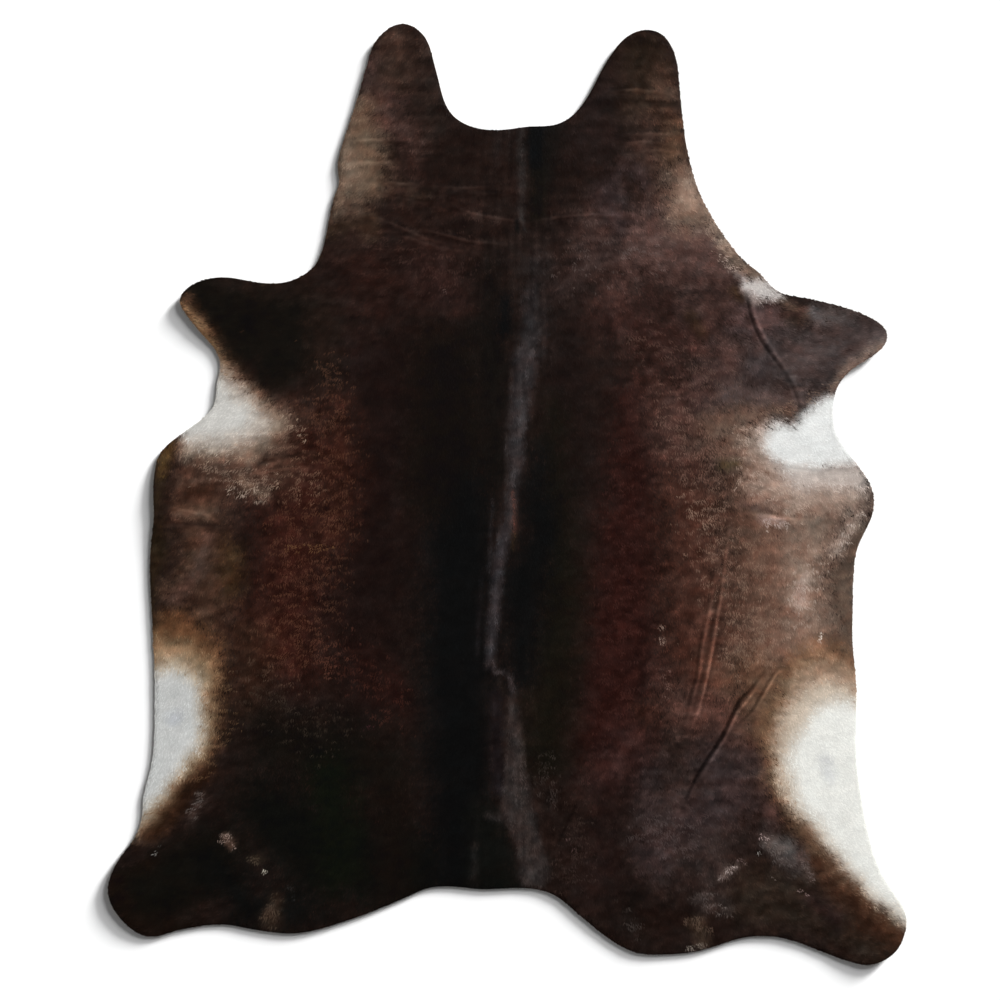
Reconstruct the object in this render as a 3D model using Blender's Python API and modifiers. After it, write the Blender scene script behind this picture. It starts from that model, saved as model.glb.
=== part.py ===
"""Cowhide rug, laid flat with its hair side up: one piece of leather with the coat on.

Metres, +Z up. The spine runs along Y with the neck end at +Y, and X runs across
the hide to its right-hand legs. The floor is z = 0 and the origin lies on it,
under the middle of the hide.
"""

from collections import namedtuple
from math import ceil

import bmesh
import bpy
from mathutils import Vector
from mathutils.geometry import interpolate_bezier, intersect_point_line

# Sheet: tanned skin, and on it the short coat lying flat
SKIN_THICKNESS = 0.002
COAT_DEPTH = 0.003

# Mesh of the sheet
RIM_STEP = 0.030  # longest straight stretch along a curved edge
CELL = 0.060  # grid that the flat parts are divided into
CREASE_STEP = 0.012  # longest mesh edge on a crease's slopes

# Each row is one turn of the edge: (across, along) from the origin. The sections
# follow one another clockwise, seen from above, from the tip of the left neck flap.
OUTLINE = {
    "left neck flap": [
        (-0.248, 1.131),
        (-0.197, 1.100),
        (-0.170, 1.021),
        (-0.138, 0.920),
        (-0.106, 0.892),
    ],
    "nape": [
        (-0.065, 0.878),
        (-0.018, 0.875),
        (0.055, 0.884),
        (0.110, 0.886),
        (0.147, 0.902),
    ],
    "right neck flap": [
        (0.179, 0.934),
        (0.239, 1.040),
        (0.271, 1.085),
        (0.303, 1.108),
        (0.340, 1.115),
        (0.372, 1.104),
        (0.395, 1.076),
        (0.409, 1.035),
        (0.416, 0.965),
        (0.434, 0.824),
        (0.463, 0.723),
    ],
    "right shoulder": [
        (0.509, 0.639),
        (0.573, 0.557),
        (0.605, 0.534),
        (0.637, 0.497),
        (0.665, 0.481),
        (0.710, 0.473),
    ],
    "right foreleg": [
        (0.830, 0.442),
        (0.901, 0.405),
        (0.914, 0.380),
        (0.903, 0.352),
        (0.826, 0.297),
        (0.798, 0.265),
        (0.785, 0.229),
        (0.783, 0.188),
        (0.791, 0.145),
    ],
    "right flank": [
        (0.848, 0.061),
        (0.871, 0.026),
        (0.881, -0.016),
        (0.874, -0.059),
        (0.851, -0.105),
        (0.837, -0.146),
        (0.830, -0.283),
        (0.830, -0.352),
        (0.839, -0.458),
        (0.838, -0.595),
        (0.842, -0.669),
    ],
    "right hind leg": [
        (0.866, -0.806),
        (0.882, -0.866),
        (0.902, -0.916),
        (0.953, -0.994),
        (0.959, -1.027),
        (0.955, -1.053),
        (0.935, -1.095),
        (0.902, -1.120),
        (0.866, -1.131),
        (0.824, -1.123),
    ],
    "right rump": [
        (0.659, -1.065),
        (0.608, -1.061),
        (0.566, -1.065),
        (0.457, -1.098),
        (0.393, -1.105),
        (0.312, -1.102),
        (0.266, -1.082),
    ],
    "tail edge": [
        (0.165, -1.004),
        (0.124, -0.969),
        (0.086, -0.952),
        (0.036, -0.946),
        (-0.065, -0.949),
        (-0.120, -0.943),
        (-0.156, -0.942),
        (-0.193, -0.947),
    ],
    "left rump": [
        (-0.248, -0.971),
        (-0.377, -1.022),
        (-0.506, -1.055),
        (-0.593, -1.048),
        (-0.685, -1.033),
    ],
    "left hind leg": [
        (-0.785, -1.046),
        (-0.864, -1.063),
        (-0.929, -1.017),
        (-0.959, -0.953),
        (-0.942, -0.893),
        (-0.887, -0.811),
        (-0.876, -0.770),
        (-0.874, -0.728),
    ],
    "left flank": [
        (-0.853, -0.645),
        (-0.846, -0.539),
        (-0.845, -0.491),
        (-0.852, -0.307),
        (-0.857, -0.215),
        (-0.857, -0.141),
        (-0.848, -0.055),
        (-0.849, 0.013),
        (-0.844, 0.070),
        (-0.830, 0.104),
    ],
    "left foreleg": [
        (-0.756, 0.164),
        (-0.715, 0.196),
        (-0.701, 0.224),
        (-0.697, 0.265),
        (-0.688, 0.310),
        (-0.701, 0.347),
        (-0.730, 0.380),
        (-0.770, 0.430),
        (-0.788, 0.465),
        (-0.761, 0.500),
        (-0.692, 0.522),
    ],
    "left shoulder": [
        (-0.573, 0.507),
        (-0.518, 0.513),
        (-0.458, 0.553),
        (-0.442, 0.593),
        (-0.417, 0.709),
    ],
    "left side of neck": [
        (-0.403, 0.749),
        (-0.408, 0.783),
        (-0.403, 0.819),
        (-0.384, 0.874),
        (-0.338, 1.025),
        (-0.325, 1.071),
        (-0.298, 1.108),
    ],
}

# A crease is a soft ridge where the hide has buckled off the floor: the reach of its
# slope to each side, and its line, each row (across, along, height of the crest).
Crease = namedtuple("Crease", "name reach line")
CREASES = [
    Crease("inner flank ridge", 0.012, [
        (0.508, -0.120, 0.000),
        (0.499, -0.194, 0.004),
        (0.487, -0.273, 0.003),
        (0.461, -0.427, 0.005),
        (0.427, -0.561, 0.000),
    ]),
    Crease("outer flank ridge", 0.012, [
        (0.538, -0.100, 0.000),
        (0.529, -0.177, 0.003),
        (0.503, -0.302, 0.006),
        (0.485, -0.400, 0.004),
        (0.468, -0.467, 0.006),
        (0.439, -0.575, 0.000),
    ]),
    Crease("upper side of the diagonal fold", 0.015, [
        (0.660, -0.395, 0.000),
        (0.604, -0.456, 0.005),
        (0.560, -0.517, 0.006),
        (0.520, -0.590, 0.007),
        (0.488, -0.647, 0.005),
        (0.440, -0.730, 0.000),
    ]),
    Crease("lower side of the diagonal fold", 0.015, [
        (0.605, -0.405, 0.000),
        (0.566, -0.453, 0.004),
        (0.528, -0.513, 0.006),
        (0.497, -0.573, 0.006),
        (0.468, -0.620, 0.004),
        (0.415, -0.705, 0.000),
    ]),
    Crease("short ridge above the diagonal fold", 0.014, [
        (0.680, -0.400, 0.000),
        (0.643, -0.432, 0.005),
        (0.619, -0.470, 0.003),
        (0.575, -0.545, 0.000),
    ]),
    Crease("foreleg ridge", 0.014, [
        (0.578, 0.490, 0.000),
        (0.586, 0.435, 0.004),
        (0.600, 0.394, 0.005),
        (0.619, 0.356, 0.003),
        (0.652, 0.320, 0.000),
    ]),
    Crease("armpit ridge", 0.014, [
        (0.625, 0.066, 0.000),
        (0.701, 0.061, 0.003),
        (0.756, 0.056, 0.003),
        (0.835, 0.062, 0.004),
    ]),
]

# A lift is a place where the rim stands a little off the floor, fading over its radius.
Lift = namedtuple("Lift", "name across along radius height")
LIFTS = [
    Lift("left neck flap", -0.235, 1.130, 0.15, 0.005),
    Lift("right neck flap", 0.350, 1.115, 0.15, 0.006),
    Lift("left foreleg", -0.785, 0.470, 0.17, 0.005),
    Lift("right foreleg", 0.910, 0.385, 0.17, 0.006),
    Lift("left flank", -0.850, -0.010, 0.16, 0.005),
    Lift("right flank", 0.880, -0.015, 0.17, 0.007),
    Lift("right flank ripple", 0.835, -0.240, 0.13, 0.004),
    Lift("left hind leg", -0.955, -0.965, 0.18, 0.005),
    Lift("right hind leg", 0.945, -1.085, 0.20, 0.006),
]

HIDE_COLOUR = (0.030, 0.019, 0.015, 1.0)  # near-black brown coat
HIDE_ROUGHNESS = 0.6


def clear_scene():
    for thing in list(bpy.data.objects):
        bpy.data.objects.remove(thing, do_unlink=True)


def edge_direction(before, here, after):
    """Direction of the edge at a point: halfway between the ways in and out."""
    return ((here - before).normalized() + (after - here).normalized()).normalized()


def rim_points():
    """The outline as a closed smooth curve, its spans cut into steps of RIM_STEP."""
    turns = [Vector((*row, 0.0)) for section in OUTLINE.values() for row in section]
    count = len(turns)
    points = []
    for i, start in enumerate(turns):
        before, end, after = turns[i - 1], turns[(i + 1) % count], turns[(i + 2) % count]
        handle = (end - start).length / 3
        leaving = start + handle * edge_direction(before, start, end)
        arriving = end - handle * edge_direction(start, end, after)
        steps = max(2, ceil((end - start).length / RIM_STEP))
        points += interpolate_bezier(start, leaving, arriving, end, steps + 1)[:-1]
    return points


def flat_sheet():
    """The hide's outline as one flat face, sliced into cells along X and Y."""
    sheet = bmesh.new()
    sheet.faces.new([sheet.verts.new(point) for point in reversed(rim_points())])
    for axis in (Vector((1, 0, 0)), Vector((0, 1, 0))):
        places = [vert.co.dot(axis) for vert in sheet.verts]
        first, last = ceil(min(places) / CELL), ceil(max(places) / CELL)
        for line in range(first, last):
            geometry = sheet.verts[:] + sheet.edges[:] + sheet.faces[:]
            bmesh.ops.bisect_plane(
                sheet, geom=geometry, dist=1e-6, plane_co=line * CELL * axis, plane_no=axis
            )
    return sheet


def nearest_on_crease(place, crease):
    """Distance to a crease's line, and the height of its crest at the nearest point."""
    nearest, crest = float("inf"), 0.0
    for start, end in zip(crease.line, crease.line[1:]):
        here, there = Vector((*start[:2], 0.0)), Vector((*end[:2], 0.0))
        share = min(max(intersect_point_line(place, here, there)[1], 0.0), 1.0)
        distance = (place - here.lerp(there, share)).length
        if distance < nearest:
            nearest, crest = distance, start[2] + share * (end[2] - start[2])
    return nearest, crest


def soft_bump(distance, reach):
    """1 at the middle, falling smoothly to 0 at the reach."""
    return max(0.0, 1.0 - (distance / reach) ** 2) ** 2


def crease_height(place):
    """Height of the tallest ridge here."""
    height = 0.0
    for crease in CREASES:
        distance, crest = nearest_on_crease(place, crease)
        height = max(height, crest * soft_bump(distance, crease.reach))
    return height


def rim_height(place):
    """Height of the rim's lifts here."""
    height = 0.0
    for lift in LIFTS:
        distance = (place - Vector((lift.across, lift.along, 0.0))).length
        height += lift.height * soft_bump(distance, lift.radius)
    return height


def reaches_crease(edge):
    middle = (edge.verts[0].co + edge.verts[1].co) / 2
    half = edge.calc_length() / 2
    return any(
        nearest_on_crease(middle, crease)[0] < crease.reach + half for crease in CREASES
    )


def refine_creases(sheet):
    """Halves the edges that reach a crease until they are short enough for its ridge."""
    bmesh.ops.triangulate(sheet, faces=sheet.faces[:])
    while True:
        long_edges = [
            edge for edge in sheet.edges
            if edge.calc_length() > CREASE_STEP and reaches_crease(edge)
        ]
        if not long_edges:
            break
        bmesh.ops.subdivide_edges(sheet, edges=long_edges, cuts=1)
        bmesh.ops.triangulate(sheet, faces=sheet.faces[:])


def lay_sheet(sheet):
    """Raises the ridges and the rim; everything else stays flat on the floor."""
    for vert in sheet.verts:
        vert.co.z = crease_height(vert.co) + rim_height(vert.co)


def hide_material():
    material = bpy.data.materials.new("hair-on hide")
    material.use_nodes = True
    surface = material.node_tree.nodes["Principled BSDF"]
    surface.inputs["Base Color"].default_value = HIDE_COLOUR
    surface.inputs["Roughness"].default_value = HIDE_ROUGHNESS
    surface.inputs["Metallic"].default_value = 0.0
    return material


def build_hide(collection):
    """The modelled sheet is the hide's underside; its thickness is added upwards."""
    sheet = flat_sheet()
    refine_creases(sheet)
    lay_sheet(sheet)
    mesh = bpy.data.meshes.new("hide")
    sheet.to_mesh(mesh)
    sheet.free()
    hide = bpy.data.objects.new("hide", mesh)
    hide.data.materials.append(hide_material())
    collection.objects.link(hide)
    thickness = hide.modifiers.new("skin and coat", "SOLIDIFY")
    thickness.thickness = SKIN_THICKNESS + COAT_DEPTH
    thickness.offset = 1.0
    thickness.use_even_offset = False
    return hide


def main():
    clear_scene()
    collection = bpy.data.collections.new("cowhide rug")
    bpy.context.scene.collection.children.link(collection)
    build_hide(collection)


main()
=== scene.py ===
# A whole hair-on cowhide rug, laid flat with the hair side up and seen from straight above.
import math
import bmesh
import bpy
import numpy as np
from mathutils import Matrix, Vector, kdtree
from mathutils.bvhtree import BVHTree


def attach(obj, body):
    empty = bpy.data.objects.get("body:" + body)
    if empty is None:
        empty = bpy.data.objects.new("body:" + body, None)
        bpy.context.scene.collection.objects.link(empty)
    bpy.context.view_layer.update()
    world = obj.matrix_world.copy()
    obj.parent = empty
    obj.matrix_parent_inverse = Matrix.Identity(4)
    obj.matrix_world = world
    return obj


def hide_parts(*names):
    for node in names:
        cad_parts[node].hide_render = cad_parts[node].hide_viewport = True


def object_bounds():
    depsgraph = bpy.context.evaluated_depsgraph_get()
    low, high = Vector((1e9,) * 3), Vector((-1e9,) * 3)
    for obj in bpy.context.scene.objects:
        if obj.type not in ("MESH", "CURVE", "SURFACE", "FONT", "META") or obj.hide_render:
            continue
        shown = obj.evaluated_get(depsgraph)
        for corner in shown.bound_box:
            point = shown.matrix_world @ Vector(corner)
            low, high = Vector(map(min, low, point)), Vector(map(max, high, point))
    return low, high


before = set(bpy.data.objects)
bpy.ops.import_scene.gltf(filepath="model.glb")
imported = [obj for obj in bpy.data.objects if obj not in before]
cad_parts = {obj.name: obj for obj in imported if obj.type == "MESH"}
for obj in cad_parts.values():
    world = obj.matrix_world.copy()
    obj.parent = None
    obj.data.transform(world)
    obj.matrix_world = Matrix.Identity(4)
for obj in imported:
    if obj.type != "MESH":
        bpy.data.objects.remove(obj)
cadLow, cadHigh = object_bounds()
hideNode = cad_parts["hide"]
millimetre = 0.001
perMetre = 1000  # creases, marks and flecks are listed in whole millimetres
print("frame loaded")

# what a user would change about the whole rug
rugSettings = {
    "mapPitch": 4 * millimetre,       # spacing of the maps of height and rim distance
    "outlinePitch": 3 * millimetre,   # spacing of points along the outline
    "outlineSmooth": 7 * millimetre,  # how far the outline's small corners are rounded
    "foldSmooth": 5 * millimetre,     # how far the solid's facets are blurred
    "hideThickness": 5 * millimetre,  # skin and pressed coat together
    "weld": 0.01 * millimetre,        # corners of the solid nearer than this are one
    "mapMargin": 30 * millimetre,     # how far the maps reach past the hide
    # its faint unevenness: size, height in millimetres, seed
    "uneven": ((0.16, 0.5, 11), (0.07, 0.3, 12)),
    "neckRipple": (0.016, 0.22, 13),
    "rippleStretch": 3.5,             # how many times as long across as along
    "rippleFrom": (0.1, 0.6),         # where the ripples come in towards the neck
    "loft": 0.8,                      # height of the coat above the solid, in millimetres
    "seed": 8,
}


def softStep(low, high, value):
    share = np.clip((value - low) / (high - low), 0.0, 1.0)
    return share * share * (3.0 - 2.0 * share)


def between(grid, left, right, low, high, shareX, shareY):
    # the value at a share of the way between four places of a grid
    below = grid[left, low] * (1 - shareX) + grid[right, low] * shareX
    above = grid[left, high] * (1 - shareX) + grid[right, high] * shareX
    return below * (1 - shareY) + above * shareY


def waviness(across, along, size, seed):
    # smooth bumps of about the given size, between -1 and 1
    cells, shiftX, shiftY = 64, 17.3, 31.7
    lattice = np.random.default_rng(seed).uniform(-1.0, 1.0, (cells, cells))
    column, row = across / size + shiftX, along / size + shiftY
    leftCell, lowCell = np.floor(column).astype(int), np.floor(row).astype(int)
    shareX, shareY = softStep(0.0, 1.0, column - leftCell), softStep(0.0, 1.0, row - lowCell)
    left, right = leftCell % cells, (leftCell + 1) % cells
    low, high = lowCell % cells, (lowCell + 1) % cells
    return between(lattice, left, right, low, high, shareX, shareY)


def layered(across, along, layers):
    # bumps of several sizes together: size, strength, seed
    return sum(strength * waviness(across, along, size, seed) for size, strength, seed in layers)


def inMetres(path):
    return [tuple(number / perMetre for number in place) for place in path]


def nearPath(across, along, path, reach):
    # which places lie in the path's box, widened by the reach
    columns, rows = [place[0] for place in path], [place[1] for place in path]
    return np.flatnonzero((across > min(columns) - reach) & (across < max(columns) + reach)
                          & (along > min(rows) - reach) & (along < max(rows) + reach))


def strokeGap(across, along, path):
    # distance outside a stroke whose last column, a half width, changes along its path
    nearest = np.full(across.shape, np.inf)
    tiny = 1e-9  # a single dot has no span, and nothing is divided by zero
    for start, end in zip(path, path[1:] or path):
        spanX, spanY = end[0] - start[0], end[1] - start[1]
        spanSquared = max(spanX * spanX + spanY * spanY, tiny)
        share = ((across - start[0]) * spanX + (along - start[1]) * spanY) / spanSquared
        share = np.clip(share, 0.0, 1.0)
        gap = np.hypot(across - start[0] - share * spanX, along - start[1] - share * spanY)
        nearest = np.minimum(nearest, gap - start[2] - share * (end[2] - start[2]))
    return nearest


def bellWeights(reach, count):
    # how much each neighbour counts in a soft blur, and how far off it lies
    offsets = np.arange(-count, count + 1)
    weights = np.exp(-0.5 * (offsets / reach) ** 2)
    return offsets, weights / weights.sum()


# the outline and the lie of the hide, read from its solid
def readOutline():
    # the rim of the solid's underside, in order, with its small corners rounded
    work = bmesh.new()
    work.from_mesh(hideNode.data)
    bmesh.ops.remove_doubles(work, verts=work.verts, dist=rugSettings["weld"])
    under = {face for face in work.faces if face.normal.z < -0.5}  # faces that look down
    rim = [edge for edge in work.edges if sum(face in under for face in edge.link_faces) == 1]
    nextTo = {}
    for edge in rim:
        for vert in edge.verts:
            nextTo.setdefault(vert, []).append(edge.other_vert(vert))
    start = rim[0].verts[0]
    walk, last, here = [start], start, nextTo[start][0]
    while here != start:
        walk.append(here)
        last, here = here, next(vert for vert in nextTo[here] if vert != last)
    corners = np.array([vert.co[:2] for vert in walk])
    work.free()

    closed = np.vstack([corners, corners[:1]])
    travelled = np.concatenate([[0.0], np.cumsum(np.hypot(*np.diff(closed, axis=0).T))])
    count = int(travelled[-1] / rugSettings["outlinePitch"])
    places = np.linspace(0.0, travelled[-1], count, endpoint=False)
    points = np.stack([np.interp(places, travelled, closed[:, axis]) for axis in (0, 1)], axis=1)
    reach = rugSettings["outlineSmooth"] / rugSettings["outlinePitch"]
    offsets, weights = bellWeights(reach, int(3 * reach))
    points = sum(weight * np.roll(points, -offset, axis=0) for offset, weight in zip(offsets, weights))
    x, y = points.T
    doubleArea = np.sum(x * np.roll(y, -1) - y * np.roll(x, -1))
    return points if doubleArea > 0 else points[::-1]  # counter-clockwise: the inside is on the left


class HideMap:
    # height of the hide's top and distance in from its rim, on a fine map of the floor

    def __init__(self):
        self.outline = readOutline()
        ahead = np.roll(self.outline, -1, axis=0) - np.roll(self.outline, 1, axis=0)
        ahead /= np.hypot(*ahead.T)[:, None]
        self.inward = np.stack([-ahead[:, 1], ahead[:, 0]], axis=1)
        self.tree = kdtree.KDTree(len(self.outline))
        for index, point in enumerate(self.outline):
            self.tree.insert((point[0], point[1], 0.0), index)
        self.tree.balance()

        margin = rugSettings["mapMargin"]
        self.pitch = rugSettings["mapPitch"]
        self.low = np.array(cadLow[:2]) - margin
        counts = np.ceil((np.array(cadHigh[:2]) + margin - self.low) / self.pitch).astype(int) + 1
        self.rimGap = np.zeros(counts)
        height = np.zeros(counts)
        work = bmesh.new()
        work.from_mesh(hideNode.data)
        solid = BVHTree.FromBMesh(work)
        work.free()
        for column in range(counts[0]):
            for row in range(counts[1]):
                place = Vector((*(self.low + self.pitch * np.array((column, row))), 0.0))
                spot, index, away = self.tree.find(place)
                across = (place - spot).to_2d()
                inside = across.dot(Vector(self.inward[index]))
                self.rimGap[column, row] = math.copysign(away, inside)
                if inside < 0.0:  # just outside, the nearest part of the rim is taken
                    place = spot + Vector((*self.inward[index], 0.0)) * millimetre
                above = Vector((place.x, place.y, 1.0))
                hit = solid.ray_cast(above, Vector((0.0, 0.0, -1.0)))[0]
                height[column, row] = hit.z if hit else rugSettings["hideThickness"]
        self.height = self.blur(height, rugSettings["foldSmooth"] / self.pitch)

    @staticmethod
    def blur(values, reach):
        offsets, weights = bellWeights(reach, int(3 * reach) + 1)
        padded = np.pad(values, len(offsets) // 2, mode="edge")
        high, wide = values.shape
        rows = sum(weight * padded[index:index + high, :] for index, weight in enumerate(weights))
        return sum(weight * rows[:, index:index + wide] for index, weight in enumerate(weights))

    def read(self, values, across, along):
        lastCell = 1.001  # places beyond the map are read just inside its last cell
        column = np.clip((across - self.low[0]) / self.pitch, 0, values.shape[0] - lastCell)
        row = np.clip((along - self.low[1]) / self.pitch, 0, values.shape[1] - lastCell)
        left, low = column.astype(int), row.astype(int)
        return between(values, left, left + 1, low, low + 1, column - left, row - low)

    def inFromRim(self, across, along):
        return self.read(self.rimGap, across, along)

    def nearestRim(self, place, inset):
        # the place on the outline, drawn in by the inset, that lies nearest
        spot, index, away = self.tree.find((place.x, place.y, 0.0))
        inward = self.inward[index]
        return spot.x + inset * inward[0], spot.y + inset * inward[1]


hideMap = HideMap()
print("outline and lie of the hide read:", len(hideMap.outline), "points")

# fine creases, on top of the solid's own folds
creaseSettings = {
    "reach": 6.5 * millimetre,      # half width of a crease
    "meshReach": 16 * millimetre,   # this near to one a mesh is three times as fine
    # name, height in millimetres, then its places: across, along, share of the height
    "lines": (
        ("flank ridge outer", 1.6, ((536, -50, 0.0), (531, -100, 0.5), (513, -249, 0.8),
            (503, -302, 1.0), (494, -362, 0.9), (485, -410, 1.0), (473, -468, 0.9), (461, -513, 0.8),
            (442, -566, 0.0))),
        ("flank ridge inner", 1.1, ((504, -160, 0.0), (494, -225, 0.7), (487, -278, 0.9),
            (466, -381, 0.8), (463, -429, 0.8), (440, -520, 0.0))),
        ("flank trough left", -1.7, ((482, -259, 0.0), (466, -331, 0.8), (451, -444, 1.0),
            (439, -485, 0.9), (430, -530, 0.6), (408, -590, 0.0))),
        ("flank trough middle", -1.2, ((514, -213, 0.0), (493, -302, 0.9), (476, -400, 0.8),
            (456, -480, 0.8), (422, -600, 0.0))),
        ("flank trough right", -1.0, ((521, -259, 0.0), (506, -350, 0.8), (482, -455, 1.0),
            (466, -520, 0.0))),
        ("diagonal trough", -3.8, ((622, -416, 0.0), (586, -465, 0.7), (559, -492, 0.9),
            (542, -523, 1.0), (516, -580, 1.0), (485, -627, 1.0), (449, -686, 0.8), (415, -765, 0.0))),
        ("diagonal lip", 1.7, ((605, -455, 0.0), (582, -486, 0.8), (552, -522, 0.9), (528, -575, 0.7),
            (495, -630, 0.6), (462, -684, 0.0))),
        ("second diagonal trough", -2.0, ((658, -405, 0.0), (626, -448, 0.8), (605, -487, 1.0),
            (586, -520, 0.9), (562, -545, 0.6), (540, -570, 0.0))),
        ("second diagonal lip", 1.3, ((664, -416, 0.0), (643, -433, 0.9), (618, -478, 0.8),
            (590, -530, 0.0))),
        ("foreleg trough", -3.0, ((568, 495, 0.0), (576, 465, 0.8), (583, 430, 1.0), (593, 400, 1.0),
            (607, 370, 1.0), (628, 340, 0.9), (645, 318, 0.5), (665, 290, 0.2), (684, 258, 0.5),
            (697, 225, 0.5), (706, 195, 0.0))),
        ("foreleg lip", 1.1, ((588, 465, 0.0), (594, 430, 0.9), (605, 400, 1.0), (622, 370, 0.8),
            (640, 342, 0.8), (670, 298, 0.5), (700, 250, 0.5), (712, 232, 0.0))),
        ("armpit trough", -1.0, ((630, 75, 0.0), (701, 61, 0.9), (756, 56, 1.0), (802, 61, 0.8),
            (846, 61, 0.0))),
        ("belly trough", -0.8, ((570, 30, 0.0), (620, 12, 1.0), (680, -26, 0.0))),
        ("belly ridge", 1.2, ((600, -45, 0.0), (650, -58, 1.0), (715, -60, 0.0))),
        ("left armpit trough", -1.3, ((-620, 70, 0.0), (-560, 82, 1.0), (-460, 105, 0.0))),
        ("left armpit ridge", 1.2, ((-640, 40, 0.0), (-570, 55, 1.0), (-450, 70, 0.0))),
        ("left belly ridge", 0.8, ((-810, -30, 0.0), (-760, -42, 1.0), (-690, -55, 0.0))),
        ("left belly trough", -0.8, ((-830, -60, 0.0), (-760, -72, 1.0), (-640, -80, 0.0))),
        ("neck fold 1", 1.1, ((-345, 672, 0.0), (-300, 660, 0.8), (-250, 637, 1.0), (-190, 612, 0.8),
            (-110, 592, 0.0))),
        ("neck fold 2", 0.8, ((-290, 632, 0.0), (-220, 607, 1.0), (-150, 588, 0.8), (-60, 575, 0.0))),
        ("neck fold 3", 1.5, ((-200, 634, 0.0), (-160, 625, 1.0), (-90, 607, 0.9), (30, 596, 0.0))),
        ("neck fold 4", 1.3, ((-130, 690, 0.0), (-80, 673, 1.0), (0, 658, 0.9), (35, 654, 0.0))),
        ("neck fold 5", 1.1, ((50, 652, 0.0), (120, 664, 1.0), (200, 672, 0.8), (290, 664, 0.0))),
        ("neck fold 6", 1.0, ((-200, 738, 0.0), (-100, 735, 1.0), (10, 742, 0.0))),
        ("neck fold 7", 0.8, ((-150, 722, 0.0), (-60, 722, 1.0), (20, 716, 0.0))),
        ("neck trough", -1.1, ((-300, 722, 0.0), (-240, 712, 1.0), (-180, 700, 0.0))),
        ("left flap fold 1", 0.8, ((-395, 845, 0.0), (-330, 850, 1.0), (-240, 845, 0.0))),
        ("left flap fold 2", 0.8, ((-370, 800, 0.0), (-290, 795, 1.0), (-190, 805, 0.0))),
        ("left flap fold 3", 0.8, ((-330, 757, 0.0), (-260, 745, 1.0), (-170, 742, 0.0))),
        ("right flap fold 1", 1.4, ((230, 966, 0.0), (310, 970, 1.0), (400, 960, 0.0))),
        ("right flap fold 2", 1.1, ((280, 862, 0.0), (350, 866, 1.0), (410, 860, 0.0))),
        ("right flap fold 3", 1.0, ((270, 842, 0.0), (330, 846, 1.0), (400, 838, 0.0))),
        ("right flap fold 4", 0.8, ((290, 822, 0.0), (360, 825, 1.0), (420, 818, 0.0))),
        ("right flap trough", -0.9, ((300, 944, 0.0), (360, 940, 1.0), (410, 935, 0.0))),
        ("tail trough", -1.1, ((180, -710, 0.0), (160, -755, 0.8), (135, -810, 1.0), (105, -870, 0.0))),
    ),
}
creases = [(height, [(across / perMetre, along / perMetre, share) for across, along, share in line])
           for name, height, line in creaseSettings["lines"]]


def creaseRelief(across, along):
    # ridges stand up and troughs sink in, each with a soft round section
    relief = np.zeros(across.shape)
    reach = creaseSettings["reach"]
    for height, line in creases:
        near = nearPath(across, along, line, reach)
        placeX, placeY, best = across[near], along[near], np.zeros(len(near))
        for start, end in zip(line, line[1:]):
            spanX, spanY = end[0] - start[0], end[1] - start[1]
            share = (placeX - start[0]) * spanX + (placeY - start[1]) * spanY
            share = np.clip(share / (spanX ** 2 + spanY ** 2), 0.0, 1.0)
            gap = np.hypot(placeX - start[0] - share * spanX, placeY - start[1] - share * spanY)
            strength = start[2] + share * (end[2] - start[2])
            best = np.maximum(best, strength * np.clip(1.0 - (gap / reach) ** 2, 0.0, 1.0) ** 2)
        relief[near] += height * millimetre * best
    return relief


def nearCrease(place):
    for height, line in creases:
        for start, end in zip(line, line[1:]):
            first, last = Vector(start[:2]), Vector(end[:2])
            span = last - first
            share = min(max((place.to_2d() - first).dot(span) / span.length_squared, 0.0), 1.0)
            if (place.to_2d() - first - share * span).length < creaseSettings["meshReach"]:
                return True
    return False


def creaseGap(across, along):
    # distance to the nearest crease
    return np.minimum.reduce([strokeGap(across, along, [(*place[:2], 0.0) for place in line])
                              for height, line in creases])


def hideTop(across, along):
    # the top of the pressed coat: the solid's folds, the fine creases and a faint unevenness
    folds = hideMap.read(hideMap.height, across, along)
    uneven = layered(across, along, rugSettings["uneven"])
    ripple = layered(across / rugSettings["rippleStretch"], along, [rugSettings["neckRipple"]])
    ripple *= softStep(*rugSettings["rippleFrom"], along)
    return folds + creaseRelief(across, along) + millimetre * (rugSettings["loft"] + uneven + ripple)


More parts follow.
